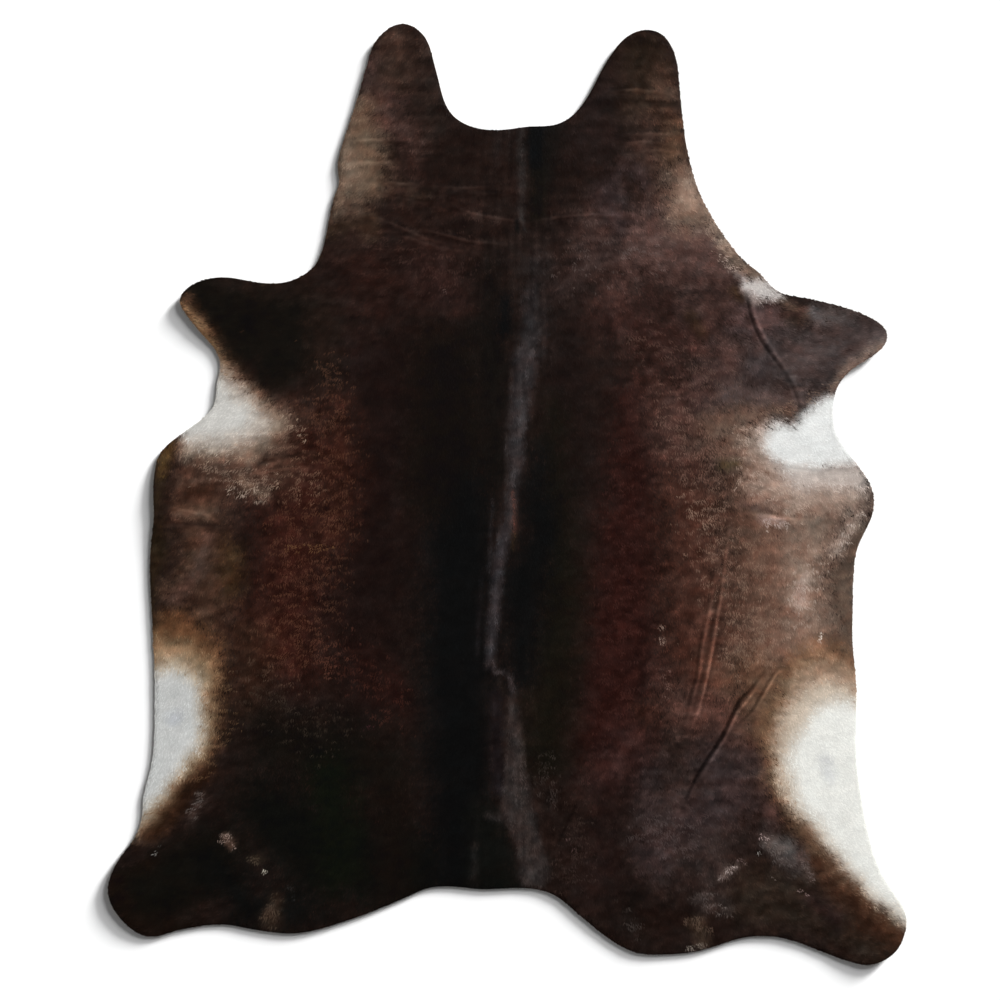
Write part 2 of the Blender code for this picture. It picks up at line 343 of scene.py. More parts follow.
# thin sheets cut to the outline
def cutSheet(pitch, inset, underSide, topSide, topIsLast):
    # a closed sheet: a fine grid cut down to the outline, cut finer along the creases,
    # drawn onto the outline and given its two faces
    work = bmesh.new()
    size = np.array(cadHigh[:2]) - np.array(cadLow[:2])
    counts = np.ceil(size / pitch).astype(int) + 2
    bmesh.ops.create_grid(work, x_segments=int(counts[0]), y_segments=int(counts[1]), size=0.5)
    spread = Vector((counts[0] * pitch, counts[1] * pitch, 1.0))
    middle = (cadLow + cadHigh) / 2
    bmesh.ops.scale(work, vec=spread, verts=work.verts)
    bmesh.ops.translate(work, vec=(middle.x, middle.y, 0.0), verts=work.verts)
    faces = list(work.faces)
    centres = np.array([face.calc_center_median()[:2] for face in faces])
    keep = hideMap.inFromRim(*centres.T) > inset
    outside = [face for face, kept in zip(faces, keep) if not kept]
    bmesh.ops.delete(work, geom=outside, context="FACES")
    near = [face for face in work.faces if nearCrease(face.calc_center_median())]
    edges = list({edge for face in near for edge in face.edges})
    bmesh.ops.subdivide_edges(work, edges=edges, cuts=2, use_grid_fill=True)  # three both ways

    rim = [vert for vert in work.verts if vert.is_boundary]
    for vert in rim:
        vert.co.x, vert.co.y = hideMap.nearestRim(vert.co, inset)
    near = {edge.other_vert(vert) for vert in rim for edge in vert.link_edges} - set(rim)
    smoothings = 4
    for _ in range(smoothings):
        bmesh.ops.smooth_vert(work, verts=list(near), factor=0.5, use_axis_x=True, use_axis_y=True)

    lower = list(work.verts)
    added = bmesh.ops.extrude_face_region(work, geom=list(work.faces))["geom"]
    upper = [item for item in added if isinstance(item, bmesh.types.BMVert)]
    if not topIsLast:
        lower, upper = upper, lower
    for verts, side in ((lower, underSide), (upper, topSide)):
        places = np.array([vert.co[:2] for vert in verts])
        for vert, height in zip(verts, side(*places.T)):
            vert.co.z = height
    bmesh.ops.recalc_face_normals(work, faces=work.faces)
    return work


def vertPlaces(mesh):
    places = np.zeros(len(mesh.vertices) * 3)
    mesh.vertices.foreach_get("co", places)
    return places.reshape(-1, 3)


def planUv(mesh):
    # seen from above, stretched to fill the square but for a narrow margin
    margin = 0.002
    plan = vertPlaces(mesh)[:, :2]
    plan = (plan - plan.min(axis=0)) / (plan.max(axis=0) - plan.min(axis=0))
    corners = np.zeros(len(mesh.loops), int)
    mesh.loops.foreach_get("vertex_index", corners)
    layer = mesh.uv_layers.new(name="OFBake")
    layer.data.foreach_set("uv", (margin + (1.0 - 2.0 * margin) * plan[corners]).ravel())


def addObject(name, data):
    made = bpy.data.objects.new(name, data)
    bpy.context.scene.collection.objects.link(made)
    return made


def addPiece(name, mesh, material):
    mesh.materials.append(material)
    piece = addObject(name, mesh)
    planUv(mesh)
    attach(piece, "root")
    return piece


def meshFrom(work, name):
    mesh = bpy.data.meshes.new(name)
    work.to_mesh(mesh)
    work.free()
    mesh.shade_smooth()
    return mesh


def setColour(mesh, colour):
    layer = mesh.color_attributes.new("hairColour", "FLOAT_COLOR", "POINT")
    rgba = np.ones((len(mesh.vertices), 4), np.float32)
    rgba[:, :3] = colour
    layer.data.foreach_set("color", rgba.ravel())


# the coat's colours, as marks painted one over another
# name, colour as it shows, strength, softness of the border, how wavy it is,
# then the path of the mark: across, along, half width;
# softness and path are in whole millimetres, as for the flecks further down
coatColour = (31, 22, 19)
coatMarks = (
    # broad tones, neck to tail
    ("neck brown", (28, 19, 16), 1.0, 80, 1.0, ((-200, 800, 120), (160, 780, 120))),
    ("neck low brown", (40, 27, 23), 1.0, 80, 1.0, ((-240, 700, 30), (-100, 660, 30))),
    ("left neck gleam", (56, 39, 33), 0.9, 40, 1.0, ((-230, 615, 12), (-190, 638, 12))),
    ("left shoulder", (32, 20, 17), 1.0, 100, 1.0, ((-360, 520, 80), (-200, 520, 100))),
    ("left shoulder red", (44, 28, 25), 0.8, 70, 1.0, ((-190, 540, 30), (-120, 460, 40))),
    ("left shoulder glow", (40, 24, 20), 0.8, 60, 1.0, ((-340, 570, 20), (-300, 480, 40))),
    ("left flank dark", (25, 16, 14), 1.0, 90, 1.0, ((-300, 300, 80), (-330, -260, 90),
        (-340, -500, 50))),
    ("left flank brown", (46, 23, 18), 1.0, 90, 1.0, ((-500, 100, 80), (-510, -140, 90),
        (-540, -360, 100))),
    ("left chest", (47, 25, 19), 1.0, 60, 1.0, ((-400, 220, 20), (-400, 60, 50), (-420, -100, 40))),
    ("left flank pit", (26, 16, 14), 1.0, 40, 1.0, ((-420, -290, 20),)),
    ("left chest flecks", (34, 22, 20), 0.8, 50, 1.0, ((-380, 380, 10), (-360, 320, 10))),
    ("left flank hem", (50, 32, 24), 1.0, 60, 1.0, ((-620, -340, 50), (-620, -480, 40))),
    ("left belly", (66, 46, 36), 1.0, 60, 1.0, ((-740, 30, 60), (-720, -260, 60))),
    ("left belly olive", (60, 42, 26), 0.9, 40, 1.0, ((-670, -130, 20), (-660, -220, 20))),
    ("left low red", (33, 18, 15), 0.9, 60, 1.0, ((-340, -400, 40), (-260, -500, 30))),
    ("left low red spot", (44, 21, 18), 0.7, 50, 1.0, ((-260, -440, 10), (-260, -480, 10))),
    ("left low dark", (18, 15, 12), 1.0, 80, 1.0, ((-580, -540, 40), (-560, -600, 60), (-420, -610, 80),
        (-300, -660, 60))),
    ("left rump black", (14, 14, 12), 1.0, 80, 1.0, ((-580, -760, 80), (-440, -860, 120),
        (-200, -900, 80))),
    ("left rump olive", (15, 17, 11), 1.0, 50, 1.0, ((-420, -680, 50), (-400, -900, 50))),
    ("left rump brown", (20, 15, 12), 1.0, 50, 1.0, ((-280, -700, 30), (-270, -920, 40))),
    ("upper left band", (17, 13, 10), 1.0, 70, 1.0, ((-140, 340, 70), (-140, 40, 100))),
    ("spine shade", (17, 14, 12), 1.0, 50, 1.0, ((-40, 560, 10), (-40, 300, 50), (-20, 50, 30))),
    ("left band", (13, 13, 13), 1.0, 60, 1.0, ((-80, 20, 40), (-115, -140, 88), (-120, -280, 85),
        (-115, -550, 85), (-110, -900, 70))),
    ("right upper shade", (26, 18, 16), 1.0, 80, 1.0, ((150, 400, 20), (130, 200, 60), (150, 20, 60))),
    ("right red", (40, 20, 17), 1.0, 60, 1.0, ((290, 240, 30), (295, 80, 55), (295, -40, 58),
        (280, -200, 80), (250, -600, 80))),
    ("right band edge", (20, 17, 12), 1.0, 60, 1.0, ((110, 200, 20), (130, -200, 50), (90, -620, 50))),
    ("right band", (13, 13, 13), 1.0, 50, 1.0, ((85, 100, 18), (70, 0, 34), (80, -80, 45),
        (40, -240, 55), (30, -440, 30))),
    ("right chest", (70, 47, 41), 1.0, 80, 1.0, ((380, 220, 50), (420, 100, 50))),
    ("right chest pale", (92, 66, 56), 0.9, 50, 1.0, ((465, 125, 25),)),
    ("right flank inner", (68, 42, 34), 1.0, 80, 1.0, ((440, -20, 60), (460, -420, 70))),
    ("right flank low", (92, 63, 51), 1.0, 45, 1.0, ((480, -400, 20), (520, -450, 20))),
    ("right flank glow", (70, 45, 40), 0.9, 50, 1.0, ((365, -420, 20),)),
    ("right flank rust", (66, 38, 29), 0.9, 40, 1.0, ((330, -520, 15),)),
    # the right flank grows lighter outwards: its own brown, with a painted sheen over it
    ("right flank", (84, 60, 49), 1.0, 100, 1.0, ((600, 0, 80), (620, -340, 100))),
    ("right flank bloom", (114, 88, 75), 1.0, 100, 1.0, ((680, 0, 60), (700, -380, 80))),
    ("right flank outer", (124, 102, 89), 1.0, 60, 1.0, ((760, -20, 50), (720, -200, 40),
        (740, -360, 50))),
    ("right belly side", (94, 77, 66), 1.0, 30, 1.0, ((840, -80, 20), (815, -200, 30),
        (820, -420, 30))),
    ("right neck", (64, 47, 43), 1.0, 100, 1.0, ((240, 620, 60), (500, 520, 60))),
    ("right shoulder", (82, 61, 56), 1.0, 80, 1.0, ((340, 620, 50), (460, 600, 60))),
    ("right shoulder red", (54, 34, 30), 1.0, 90, 1.0, ((260, 440, 50), (380, 360, 60),
        (460, 400, 30))),
    ("right shoulder gleam", (70, 48, 43), 0.9, 50, 1.0, ((270, 470, 20),)),
    ("right shoulder dark", (58, 41, 37), 0.8, 50, 1.0, ((420, 440, 20), (530, 450, 20))),
    ("right shoulder low", (68, 49, 45), 1.0, 70, 1.0, ((460, 240, 40), (520, 320, 50))),
    ("right thigh", (90, 62, 54), 1.0, 80, 1.0, ((420, -520, 40), (550, -560, 40))),
    ("right thigh bloom", (100, 73, 57), 1.0, 60, 0.8, ((600, -440, 50), (610, -560, 35))),
    ("right thigh low", (84, 60, 56), 1.0, 40, 0.8, ((580, -615, 10), (610, -630, 15),
        (630, -700, 10))),
    ("right hind halo", (66, 46, 42), 1.0, 30, 1.0, ((620, -755, 20), (650, -800, 10))),
    ("right rump", (56, 44, 41), 1.0, 100, 1.0, ((540, -660, 50), (440, -800, 120))),
    ("right rump lilac", (50, 39, 38), 1.0, 60, 1.0, ((500, -640, 40), (540, -730, 50),
        (440, -780, 50))),
    ("right rump haze", (54, 43, 42), 1.0, 60, 1.0, ((340, -660, 30), (335, -800, 20),
        (345, -870, 15))),
    ("right rump pit", (37, 28, 27), 1.0, 40, 1.0, ((420, -815, 24),)),
    ("right rump red", (54, 34, 31), 1.0, 60, 1.0, ((300, -580, 30), (235, -680, 50))),
    ("right rump brown", (32, 22, 20), 1.0, 80, 1.0, ((240, -760, 30), (210, -920, 50))),
    ("right rump low", (50, 39, 38), 1.0, 60, 1.0, ((360, -860, 40),)),
    ("tail black", (16, 16, 14), 1.0, 40, 1.0, ((-50, -780, 40), (-30, -920, 60))),
    # neck flaps
    ("left flap", (58, 42, 35), 1.0, 60, 1.0, ((-260, 1060, 50), (-300, 940, 40))),
    ("left flap dark", (36, 27, 23), 1.0, 50, 1.0, ((-190, 1020, 20), (-190, 880, 40))),
    ("left flap red", (66, 46, 41), 0.9, 50, 1.0, ((-320, 970, 10), (-270, 900, 30), (-220, 850, 20))),
    ("left flap bloom", (94, 75, 61), 1.0, 45, 0.8, ((-350, 915, 30), (-350, 850, 55),
        (-340, 760, 55))),
    ("left flap pale", (98, 80, 67), 1.0, 35, 0.8, ((-380, 900, 10), (-380, 820, 20), (-370, 750, 30),
        (-410, 670, 16))),
    ("left flap notch", (44, 33, 27), 0.9, 30, 1.0, ((-260, 740, 20), (-210, 720, 20))),
    ("left neck side", (48, 35, 26), 1.0, 30, 1.0, ((-430, 625, 20), (-330, 645, 20))),
    ("left neck shade", (36, 25, 21), 0.8, 30, 1.0, ((-360, 610, 20), (-400, 570, 10))),
    ("left neck red", (56, 37, 32), 0.9, 40, 1.0, ((-235, 775, 20),)),
    ("left neck edge gold", (84, 62, 36), 1.0, 18, 1.0, ((-440, 680, 4), (-460, 600, 6),
        (-500, 530, 6))),
    ("right flap", (42, 31, 24), 1.0, 60, 1.0, ((330, 1060, 50), (320, 960, 50))),
    ("right flap warm", (60, 43, 34), 1.0, 50, 1.0, ((380, 1000, 20), (380, 900, 25))),
    ("right flap orange", (92, 68, 52), 1.0, 50, 1.0, ((410, 880, 10), (390, 820, 25))),
    ("right flap dark", (32, 23, 21), 1.0, 50, 1.0, ((220, 980, 20), (200, 860, 60))),
    ("right flap base", (66, 48, 41), 1.0, 45, 1.0, ((335, 890, 15), (325, 820, 30), (350, 740, 20))),
    ("right flap pale", (112, 91, 78), 1.0, 50, 0.8, ((420, 760, 30), (440, 690, 60))),
    ("right flap palest", (140, 119, 105), 1.0, 35, 0.8, ((440, 752, 10), (450, 725, 18))),
    ("right neck edge", (124, 104, 90), 1.0, 35, 1.0, ((490, 660, 15), (570, 540, 15), (600, 522, 12))),
    ("right neck sheen", (46, 35, 34), 0.9, 40, 1.0, ((280, 790, 10), (240, 710, 30))),
    # forelegs
    ("left foreleg hem", (30, 22, 18), 1.0, 50, 1.0, ((-700, 440, 90), (-520, 380, 120))),
    ("left foreleg", (18, 15, 12), 1.0, 35, 1.0, ((-730, 470, 50), (-620, 400, 90), (-530, 410, 50),
        (-540, 330, 60))),
    ("left foreleg brown", (74, 51, 37), 0.9, 25, 0.5, ((-765, 465, 10), (-710, 385, 12),
        (-640, 275, 12), (-570, 225, 10))),
    ("left foreleg rim", (128, 99, 73), 1.0, 14, 0.4, ((-785, 455, 6), (-735, 405, 11), (-698, 345, 12),
        (-668, 285, 11), (-625, 232, 8))),
    ("left foreleg top rim", (44, 32, 22), 0.9, 14, 0.4, ((-580, 505, 3), (-500, 525, 6),
        (-450, 570, 6))),
    ("right foreleg", (66, 55, 53), 1.0, 60, 1.0, ((620, 300, 50), (720, 330, 80), (880, 370, 70))),
    ("right foreleg sheen", (72, 64, 62), 1.0, 30, 1.0, ((740, 440, 15), (820, 420, 20))),
    ("right foreleg shade", (56, 46, 45), 1.0, 40, 1.0, ((640, 380, 20), (600, 280, 20))),
    ("right foreleg mauve", (82, 63, 61), 0.9, 30, 0.8, ((562, 440, 12), (630, 420, 30), (600, 390, 20),
        (555, 405, 18))),
    ("right foreleg low", (72, 58, 55), 1.0, 30, 0.8, ((530, 235, 30), (620, 222, 26), (700, 222, 16))),
    ("right foreleg frost", (140, 124, 119), 0.9, 16, 0.8, ((552, 522, 8), (582, 482, 14),
        (597, 456, 8))),
    ("right foreleg brown", (76, 58, 48), 1.0, 20, 1.0, ((660, 452, 10), (710, 435, 12),
        (670, 420, 6))),
    ("right foreleg tip", (104, 90, 84), 1.0, 30, 1.0, ((900, 360, 10), (840, 320, 10))),
    ("right foreleg white", (204, 198, 194), 0.9, 18, 0.8, ((572, 493, 12), (610, 488, 24),
        (642, 474, 14))),
    # white places
    ("left armpit speckle", (68, 48, 39), 0.9, 50, 0.8, ((-540, 170, 30), (-560, 60, 60),
        (-740, 50, 50))),
    ("left armpit rust", (72, 48, 39), 0.8, 30, 0.8, ((-540, 225, 8), (-475, 180, 12))),
    ("left armpit beige", (128, 107, 92), 1.0, 30, 0.6, ((-720, 310, 30), (-655, 245, 38),
        (-572, 170, 46), (-615, 120, 40), (-760, 110, 25))),
    ("left armpit pale", (174, 164, 154), 1.0, 25, 0.5, ((-720, 300, 30), (-652, 232, 30),
        (-605, 165, 36), (-670, 135, 32), (-740, 140, 30))),
    ("left armpit white", (205, 203, 198), 1.0, 22, 0.4, ((-730, 270, 38), (-690, 190, 50),
        (-645, 185, 34), (-760, 165, 28))),
    ("right armpit brown", (94, 71, 60), 1.0, 30, 1.0, ((490, 170, 25), (570, 185, 18),
        (665, 193, 14))),
    ("right armpit tan", (104, 82, 70), 1.0, 60, 1.0, ((560, 130, 45), (620, 30, 60))),
    ("right armpit beige", (148, 126, 113), 1.0, 45, 0.8, ((600, 120, 40), (620, 30, 45), (700, 0, 45),
        (830, -10, 40))),
    ("right armpit pale", (192, 180, 172), 1.0, 30, 0.7, ((640, 130, 35), (700, 50, 35),
        (840, 35, 30))),
    ("right armpit white", (233, 234, 232), 1.0, 22, 0.5, ((665, 126, 44), (700, 113, 53),
        (740, 130, 68), (785, 150, 90))),
    ("left hind tan", (92, 63, 42), 1.0, 40, 0.8, ((-810, -412, 128), (-775, -560, 84),
        (-810, -665, 64), (-860, -765, 45), (-895, -810, 6))),
    ("left hind beige", (134, 110, 85), 1.0, 30, 0.6, ((-810, -452, 114), (-787, -560, 83),
        (-830, -655, 64), (-877, -756, 40), (-905, -805, 6))),
    ("left hind pale", (170, 154, 134), 1.0, 28, 0.5, ((-810, -475, 87), (-800, -560, 79),
        (-839, -650, 62), (-886, -748, 37), (-900, -810, 6))),
    ("left hind white", (206, 207, 205), 1.0, 26, 0.4, ((-810, -495, 74), (-810, -560, 76),
        (-847, -643, 60), (-894, -739, 35), (-905, -800, 5))),
    ("left hind blue", (186, 189, 194), 0.8, 20, 1.0, ((-800, -540, 15),)),
    ("right hind tan", (110, 80, 58), 1.0, 40, 0.8, ((750, -465, 105), (715, -560, 100),
        (716, -640, 95), (730, -700, 84), (774, -770, 92), (835, -878, 96), (894, -971, 78),
        (935, -1045, 40))),
    ("right hind beige", (146, 121, 101), 1.0, 28, 0.6, ((760, -490, 100), (735, -570, 100),
        (738, -640, 96), (745, -700, 86), (790, -755, 95), (853, -864, 102), (912, -957, 86),
        (945, -1030, 48))),
    ("right hind pale", (196, 181, 164), 1.0, 28, 0.5, ((765, -545, 97), (760, -570, 104),
        (755, -640, 104), (765, -700, 99), (805, -744, 101), (870, -850, 96), (929, -943, 78),
        (967, -1030, 28))),
    ("right hind white", (243, 243, 237), 1.0, 30, 0.4, ((800, -585, 90), (780, -640, 104),
        (790, -700, 100), (817, -735, 93), (882, -841, 84), (940, -933, 63), (978, -1020, 20))),
    ("right hind smudge", (212, 213, 214), 0.8, 20, 1.0, ((760, -640, 10), (770, -670, 6))),
    # belly edges
    ("left belly edge", (40, 30, 20), 1.0, 25, 1.0, ((-840, 40, 8), (-850, -140, 30),
        (-860, -300, 20))),
    ("left belly gleam", (74, 54, 42), 1.0, 20, 0.8, ((-790, -30, 4), (-720, -50, 12))),
    ("left belly low gleam", (80, 58, 45), 0.8, 30, 1.5, ((-750, -140, 8), (-810, -240, 10))),
    ("left armpit glints", (126, 101, 85), 0.9, 18, 1.0, ((-640, 30, 8), (-580, -5, 10))),
    # painted shade along the trough across the left armpit
    ("left armpit fold shade", (46, 32, 26), 0.8, 12, 1.5, ((-600, 75, 4), (-460, 100, 6))),
    ("right belly edge", (100, 85, 75), 1.0, 14, 0.5, ((852, -80, 3), (830, -200, 5), (835, -380, 5))),
    ("right belly dark spots", (76, 62, 53), 0.8, 10, 0.5, ((828, -115, 6), (818, -150, 4),
        (822, -200, 4))),
    ("right belly grey", (108, 92, 81), 0.8, 30, 0.8, ((700, -100, 20), (760, -80, 20))),
    ("right belly gleam", (168, 150, 138), 0.9, 24, 0.8, ((845, -60, 6), (810, -95, 12),
        (785, -140, 8))),
    ("right flank gleam", (152, 132, 122), 0.9, 22, 0.8, ((720, -215, 6), (695, -265, 14))),
    ("right belly fold", (102, 78, 68), 0.9, 10, 0.5, ((580, 0, 4), (660, -30, 4))),
    ("right fold shade", (80, 60, 54), 0.8, 10, 0.4, ((560, -22, 6), (630, -38, 4))),
    ("right belly fold gleam", (146, 122, 114), 0.9, 12, 0.4, ((610, -58, 8), (660, -68, 8))),
    ("right armpit olive", (74, 60, 40), 0.9, 14, 0.5, ((520, 78, 10), (550, 72, 6))),
    ("right armpit strand", (80, 60, 49), 0.8, 10, 0.4, ((540, 65, 3), (620, 52, 3))),
    ("left belly lilac", (80, 60, 52), 0.9, 22, 0.6, ((-710, -100, 12), (-740, -180, 14),
        (-800, -250, 14))),
    ("left belly gleam high", (96, 73, 61), 0.9, 12, 0.5, ((-790, -45, 6), (-720, -50, 8))),
    ("left belly shade", (44, 31, 26), 0.9, 12, 0.4, ((-800, -70, 4), (-700, -74, 5))),
    ("left belly shade high", (44, 28, 22), 0.8, 12, 0.4, ((-770, 0, 4), (-640, 4, 5))),
    ("left belly gold", (94, 70, 40), 0.9, 20, 0.5, ((-800, 125, 6), (-825, 85, 10), (-830, 50, 8))),
    ("left belly pit", (46, 28, 20), 1.0, 20, 0.6, ((-760, 10, 14), (-720, 12, 14))),
    # hind legs
    ("left hind leg", (17, 15, 12), 1.0, 50, 1.0, ((-720, -880, 80), (-860, -960, 80))),
    ("left hind leg hem", (22, 16, 11), 1.0, 25, 1.0, ((-840, -860, 8), (-940, -940, 4))),
    ("left hind toe", (23, 16, 12), 0.9, 30, 1.0, ((-920, -920, 15), (-920, -1020, 20),
        (-760, -1050, 20))),
    ("left hind leg black", (14, 14, 13), 1.0, 50, 1.0, ((-700, -900, 30), (-620, -990, 45),
        (-500, -1000, 30))),
    ("right hind leg", (42, 33, 27), 1.0, 50, 1.0, ((600, -960, 70), (740, -980, 60),
        (900, -1080, 60))),
    ("right hind brown", (52, 33, 24), 1.0, 35, 1.0, ((740, -880, 20), (840, -1000, 30),
        (940, -1080, 30))),
    ("right hind grey", (66, 58, 56), 1.0, 35, 1.0, ((630, -830, 20), (680, -880, 30))),
    ("right hind dark", (22, 17, 15), 1.0, 45, 1.0, ((270, -1030, 22), (300, -970, 22))),
    # streak of grey sheen along the spine
    ("neck grey", (35, 27, 25), 0.9, 10, 0.2, ((-24, 875, 8), (-22, 790, 5))),
    ("neck right dark", (19, 16, 14), 1.0, 30, 0.6, ((100, 890, 30), (92, 780, 24), (85, 700, 12))),
    ("neck grey middle", (38, 31, 29), 0.8, 6, 0.2, ((8, 875, 3), (6, 800, 2))),
    ("neck grey line", (42, 36, 34), 1.0, 10, 0.2, ((34, 880, 8), (34, 760, 10), (36, 660, 6))),
    ("neck black band", (11, 12, 13), 1.0, 10, 0.2, ((70, 880, 19), (69, 790, 16))),
    ("neck olive band", (17, 14, 10), 1.0, 20, 0.3, ((75, 770, 16), (72, 670, 14))),
    ("neck pale thread", (44, 38, 36), 1.0, 4, 0.0, ((36, 665, 3), (42, 635, 3))),
    ("neck dark thread", (15, 13, 12), 1.0, 6, 0.0, ((24, 655, 5), (26, 632, 4))),
    ("streak haze", (34, 29, 28), 1.0, 40, 0.6, ((64, 550, 24), (70, 500, 30), (75, 360, 20))),
    ("streak blue shade", (9, 10, 11), 0.9, 20, 0.3, ((0, 470, 12), (-4, 400, 14))),
    ("streak top", (37, 33, 33), 1.0, 20, 0.3, ((56, 490, 10), (54, 400, 18), (46, 330, 26))),
    ("streak upper", (43, 38, 38), 1.0, 14, 0.3, ((42, 320, 30), (40, 270, 28), (32, 220, 22),
        (24, 150, 20), (22, 100, 20), (17, 40, 14), (14, 0, 12), (4, -60, 12), (-6, -100, 12))),
    ("streak core", (50, 45, 45), 0.9, 12, 0.2, ((42, 300, 12), (39, 200, 8), (20, 100, 12), (12, 0, 8),
        (-6, -100, 8))),
    ("streak thread", (44, 40, 41), 0.8, 5, 0.1, ((-34, -10, 2), (-43, -180, 3))),
    ("streak far thread", (30, 27, 28), 0.8, 6, 0.1, ((-62, -200, 2), (-72, -380, 3))),
    ("streak mid", (46, 41, 42), 1.0, 10, 0.2, ((-6, -80, 8), (-12, -120, 14), (-20, -180, 14),
        (-24, -230, 13), (-32, -310, 13), (-42, -380, 10), (-44, -410, 6))),
    ("streak mid core", (54, 49, 50), 0.8, 5, 0.1, ((-18, -150, 3), (-24, -230, 4), (-30, -290, 5),
        (-40, -360, 4))),
    ("streak hook", (53, 46, 46), 0.9, 5, 0.0, ((-36, -400, 3), (-28, -424, 4), (-2, -426, 4),
        (8, -440, 5), (14, -470, 6))),
    ("streak hook brown", (32, 25, 22), 0.8, 6, 0.0, ((-16, -440, 5), (-8, -470, 4))),
    ("streak red line", (80, 51, 44), 0.9, 5, 0.1, ((15, 10, 3), (16, -50, 4), (16, -90, 3))),
    ("streak red end", (62, 46, 32), 0.8, 6, 0.1, ((16, -90, 3), (14, -130, 2))),
    ("streak tail side", (28, 23, 24), 1.0, 18, 0.3, ((-30, -480, 8), (-20, -700, 16))),
    ("streak tail", (48, 41, 39), 1.0, 12, 0.4, ((12, -490, 6), (16, -550, 16), (18, -620, 18),
        (22, -680, 26), (24, -750, 36), (55, -840, 30), (65, -900, 40))),
    ("streak tail bright", (60, 51, 48), 0.9, 12, 0.3, ((34, -600, 5), (34, -700, 6), (58, -860, 10))),
    ("streak tail corner", (40, 35, 34), 0.8, 12, 0.2, ((-45, -770, 6), (-15, -775, 8))),
    ("tail grey band", (32, 29, 27), 0.9, 10, 0.2, ((-76, -840, 6), (-78, -940, 8))),
    # blooms and shades that stand alone
    ("left flap lilac", (60, 44, 41), 0.9, 30, 0.6, ((-330, 1040, 10), (-340, 990, 10))),
    ("left flap blush", (62, 43, 40), 0.8, 20, 0.6, ((-280, 955, 8), (-240, 950, 6))),
    ("left flap palest", (116, 99, 85), 0.9, 25, 0.6, ((-385, 860, 4), (-375, 770, 12),
        (-400, 710, 4))),
    ("left shoulder bloom", (56, 42, 34), 0.9, 30, 0.8, ((-370, 680, 12), (-330, 640, 14))),
    ("right flap crest", (92, 69, 57), 0.9, 18, 0.5, ((360, 985, 4), (400, 975, 6))),
    ("right flap lilac", (62, 48, 47), 0.9, 25, 0.6, ((310, 775, 12), (330, 740, 10))),
    ("right neck lilac", (54, 42, 41), 0.9, 35, 0.8, ((250, 720, 14), (270, 650, 20))),
    ("right neck haze", (50, 37, 34), 0.9, 40, 0.8, ((250, 600, 20), (140, 510, 30))),
    ("right shoulder olive", (54, 38, 25), 0.7, 20, 0.6, ((440, 430, 10), (460, 390, 8))),
    ("right foreleg olive", (56, 39, 26), 0.8, 14, 0.4, ((540, 485, 8), (560, 465, 6))),
    # painted sheen: a grey-blue gleam on the right foreleg's hair
    ("right foreleg grey sheen", (86, 78, 77), 0.9, 18, 0.4, ((735, 440, 10), (755, 415, 10))),
    ("right foreleg seam", (50, 33, 30), 0.8, 8, 0.4, ((655, 425, 3), (690, 430, 5), (715, 445, 5))),
    ("right foreleg hem", (118, 98, 88), 0.9, 16, 0.5, ((900, 355, 5), (805, 300, 14), (780, 250, 6))),
    ("left hind smoke", (62, 50, 45), 0.9, 20, 0.5, ((-715, -742, 6), (-735, -730, 12),
        (-755, -770, 12))),
    ("left hind knot", (84, 64, 54), 0.9, 10, 0.4, ((-676, -822, 10), (-662, -842, 10))),
    ("left hind low knot", (44, 36, 28), 0.9, 12, 0.4, ((-608, -876, 8), (-592, -876, 8))),
    ("left hind scar", (50, 38, 30), 0.9, 20, 0.6, ((-556, -975, 16), (-566, -1020, 22))),
    ("left hind brown", (40, 24, 16), 0.9, 30, 0.6, ((-710, -665, 14), (-790, -745, 16),
        (-850, -810, 10))),
    ("right hind smoke", (80, 73, 70), 0.9, 14, 0.4, ((630, -840, 18), (665, -848, 22))),
    ("right hind stroke", (104, 88, 82), 0.8, 10, 0.3, ((550, -894, 6), (532, -902, 7),
        (508, -920, 4))),
    ("right hind stripes", (82, 68, 64), 0.8, 14, 0.4, ((695, -870, 8), (728, -920, 6))),
    ("right low scar", (54, 45, 42), 0.8, 25, 0.8, ((470, -965, 26), (515, -990, 16))),
    ("right low knot", (66, 52, 42), 0.8, 20, 0.5, ((455, -1030, 14), (465, -1075, 12))),
    ("right hind rust", (70, 46, 32), 0.9, 25, 0.6, ((710, -810, 8), (790, -905, 12), (865, -985, 12),
        (930, -1050, 10))),
    ("right hind plum", (37, 26, 25), 0.8, 30, 0.6, ((730, -970, 18), (790, -1020, 18))),
    ("right low tan", (42, 32, 25), 0.8, 16, 0.5, ((440, -1025, 10), (470, -1060, 10))),
)

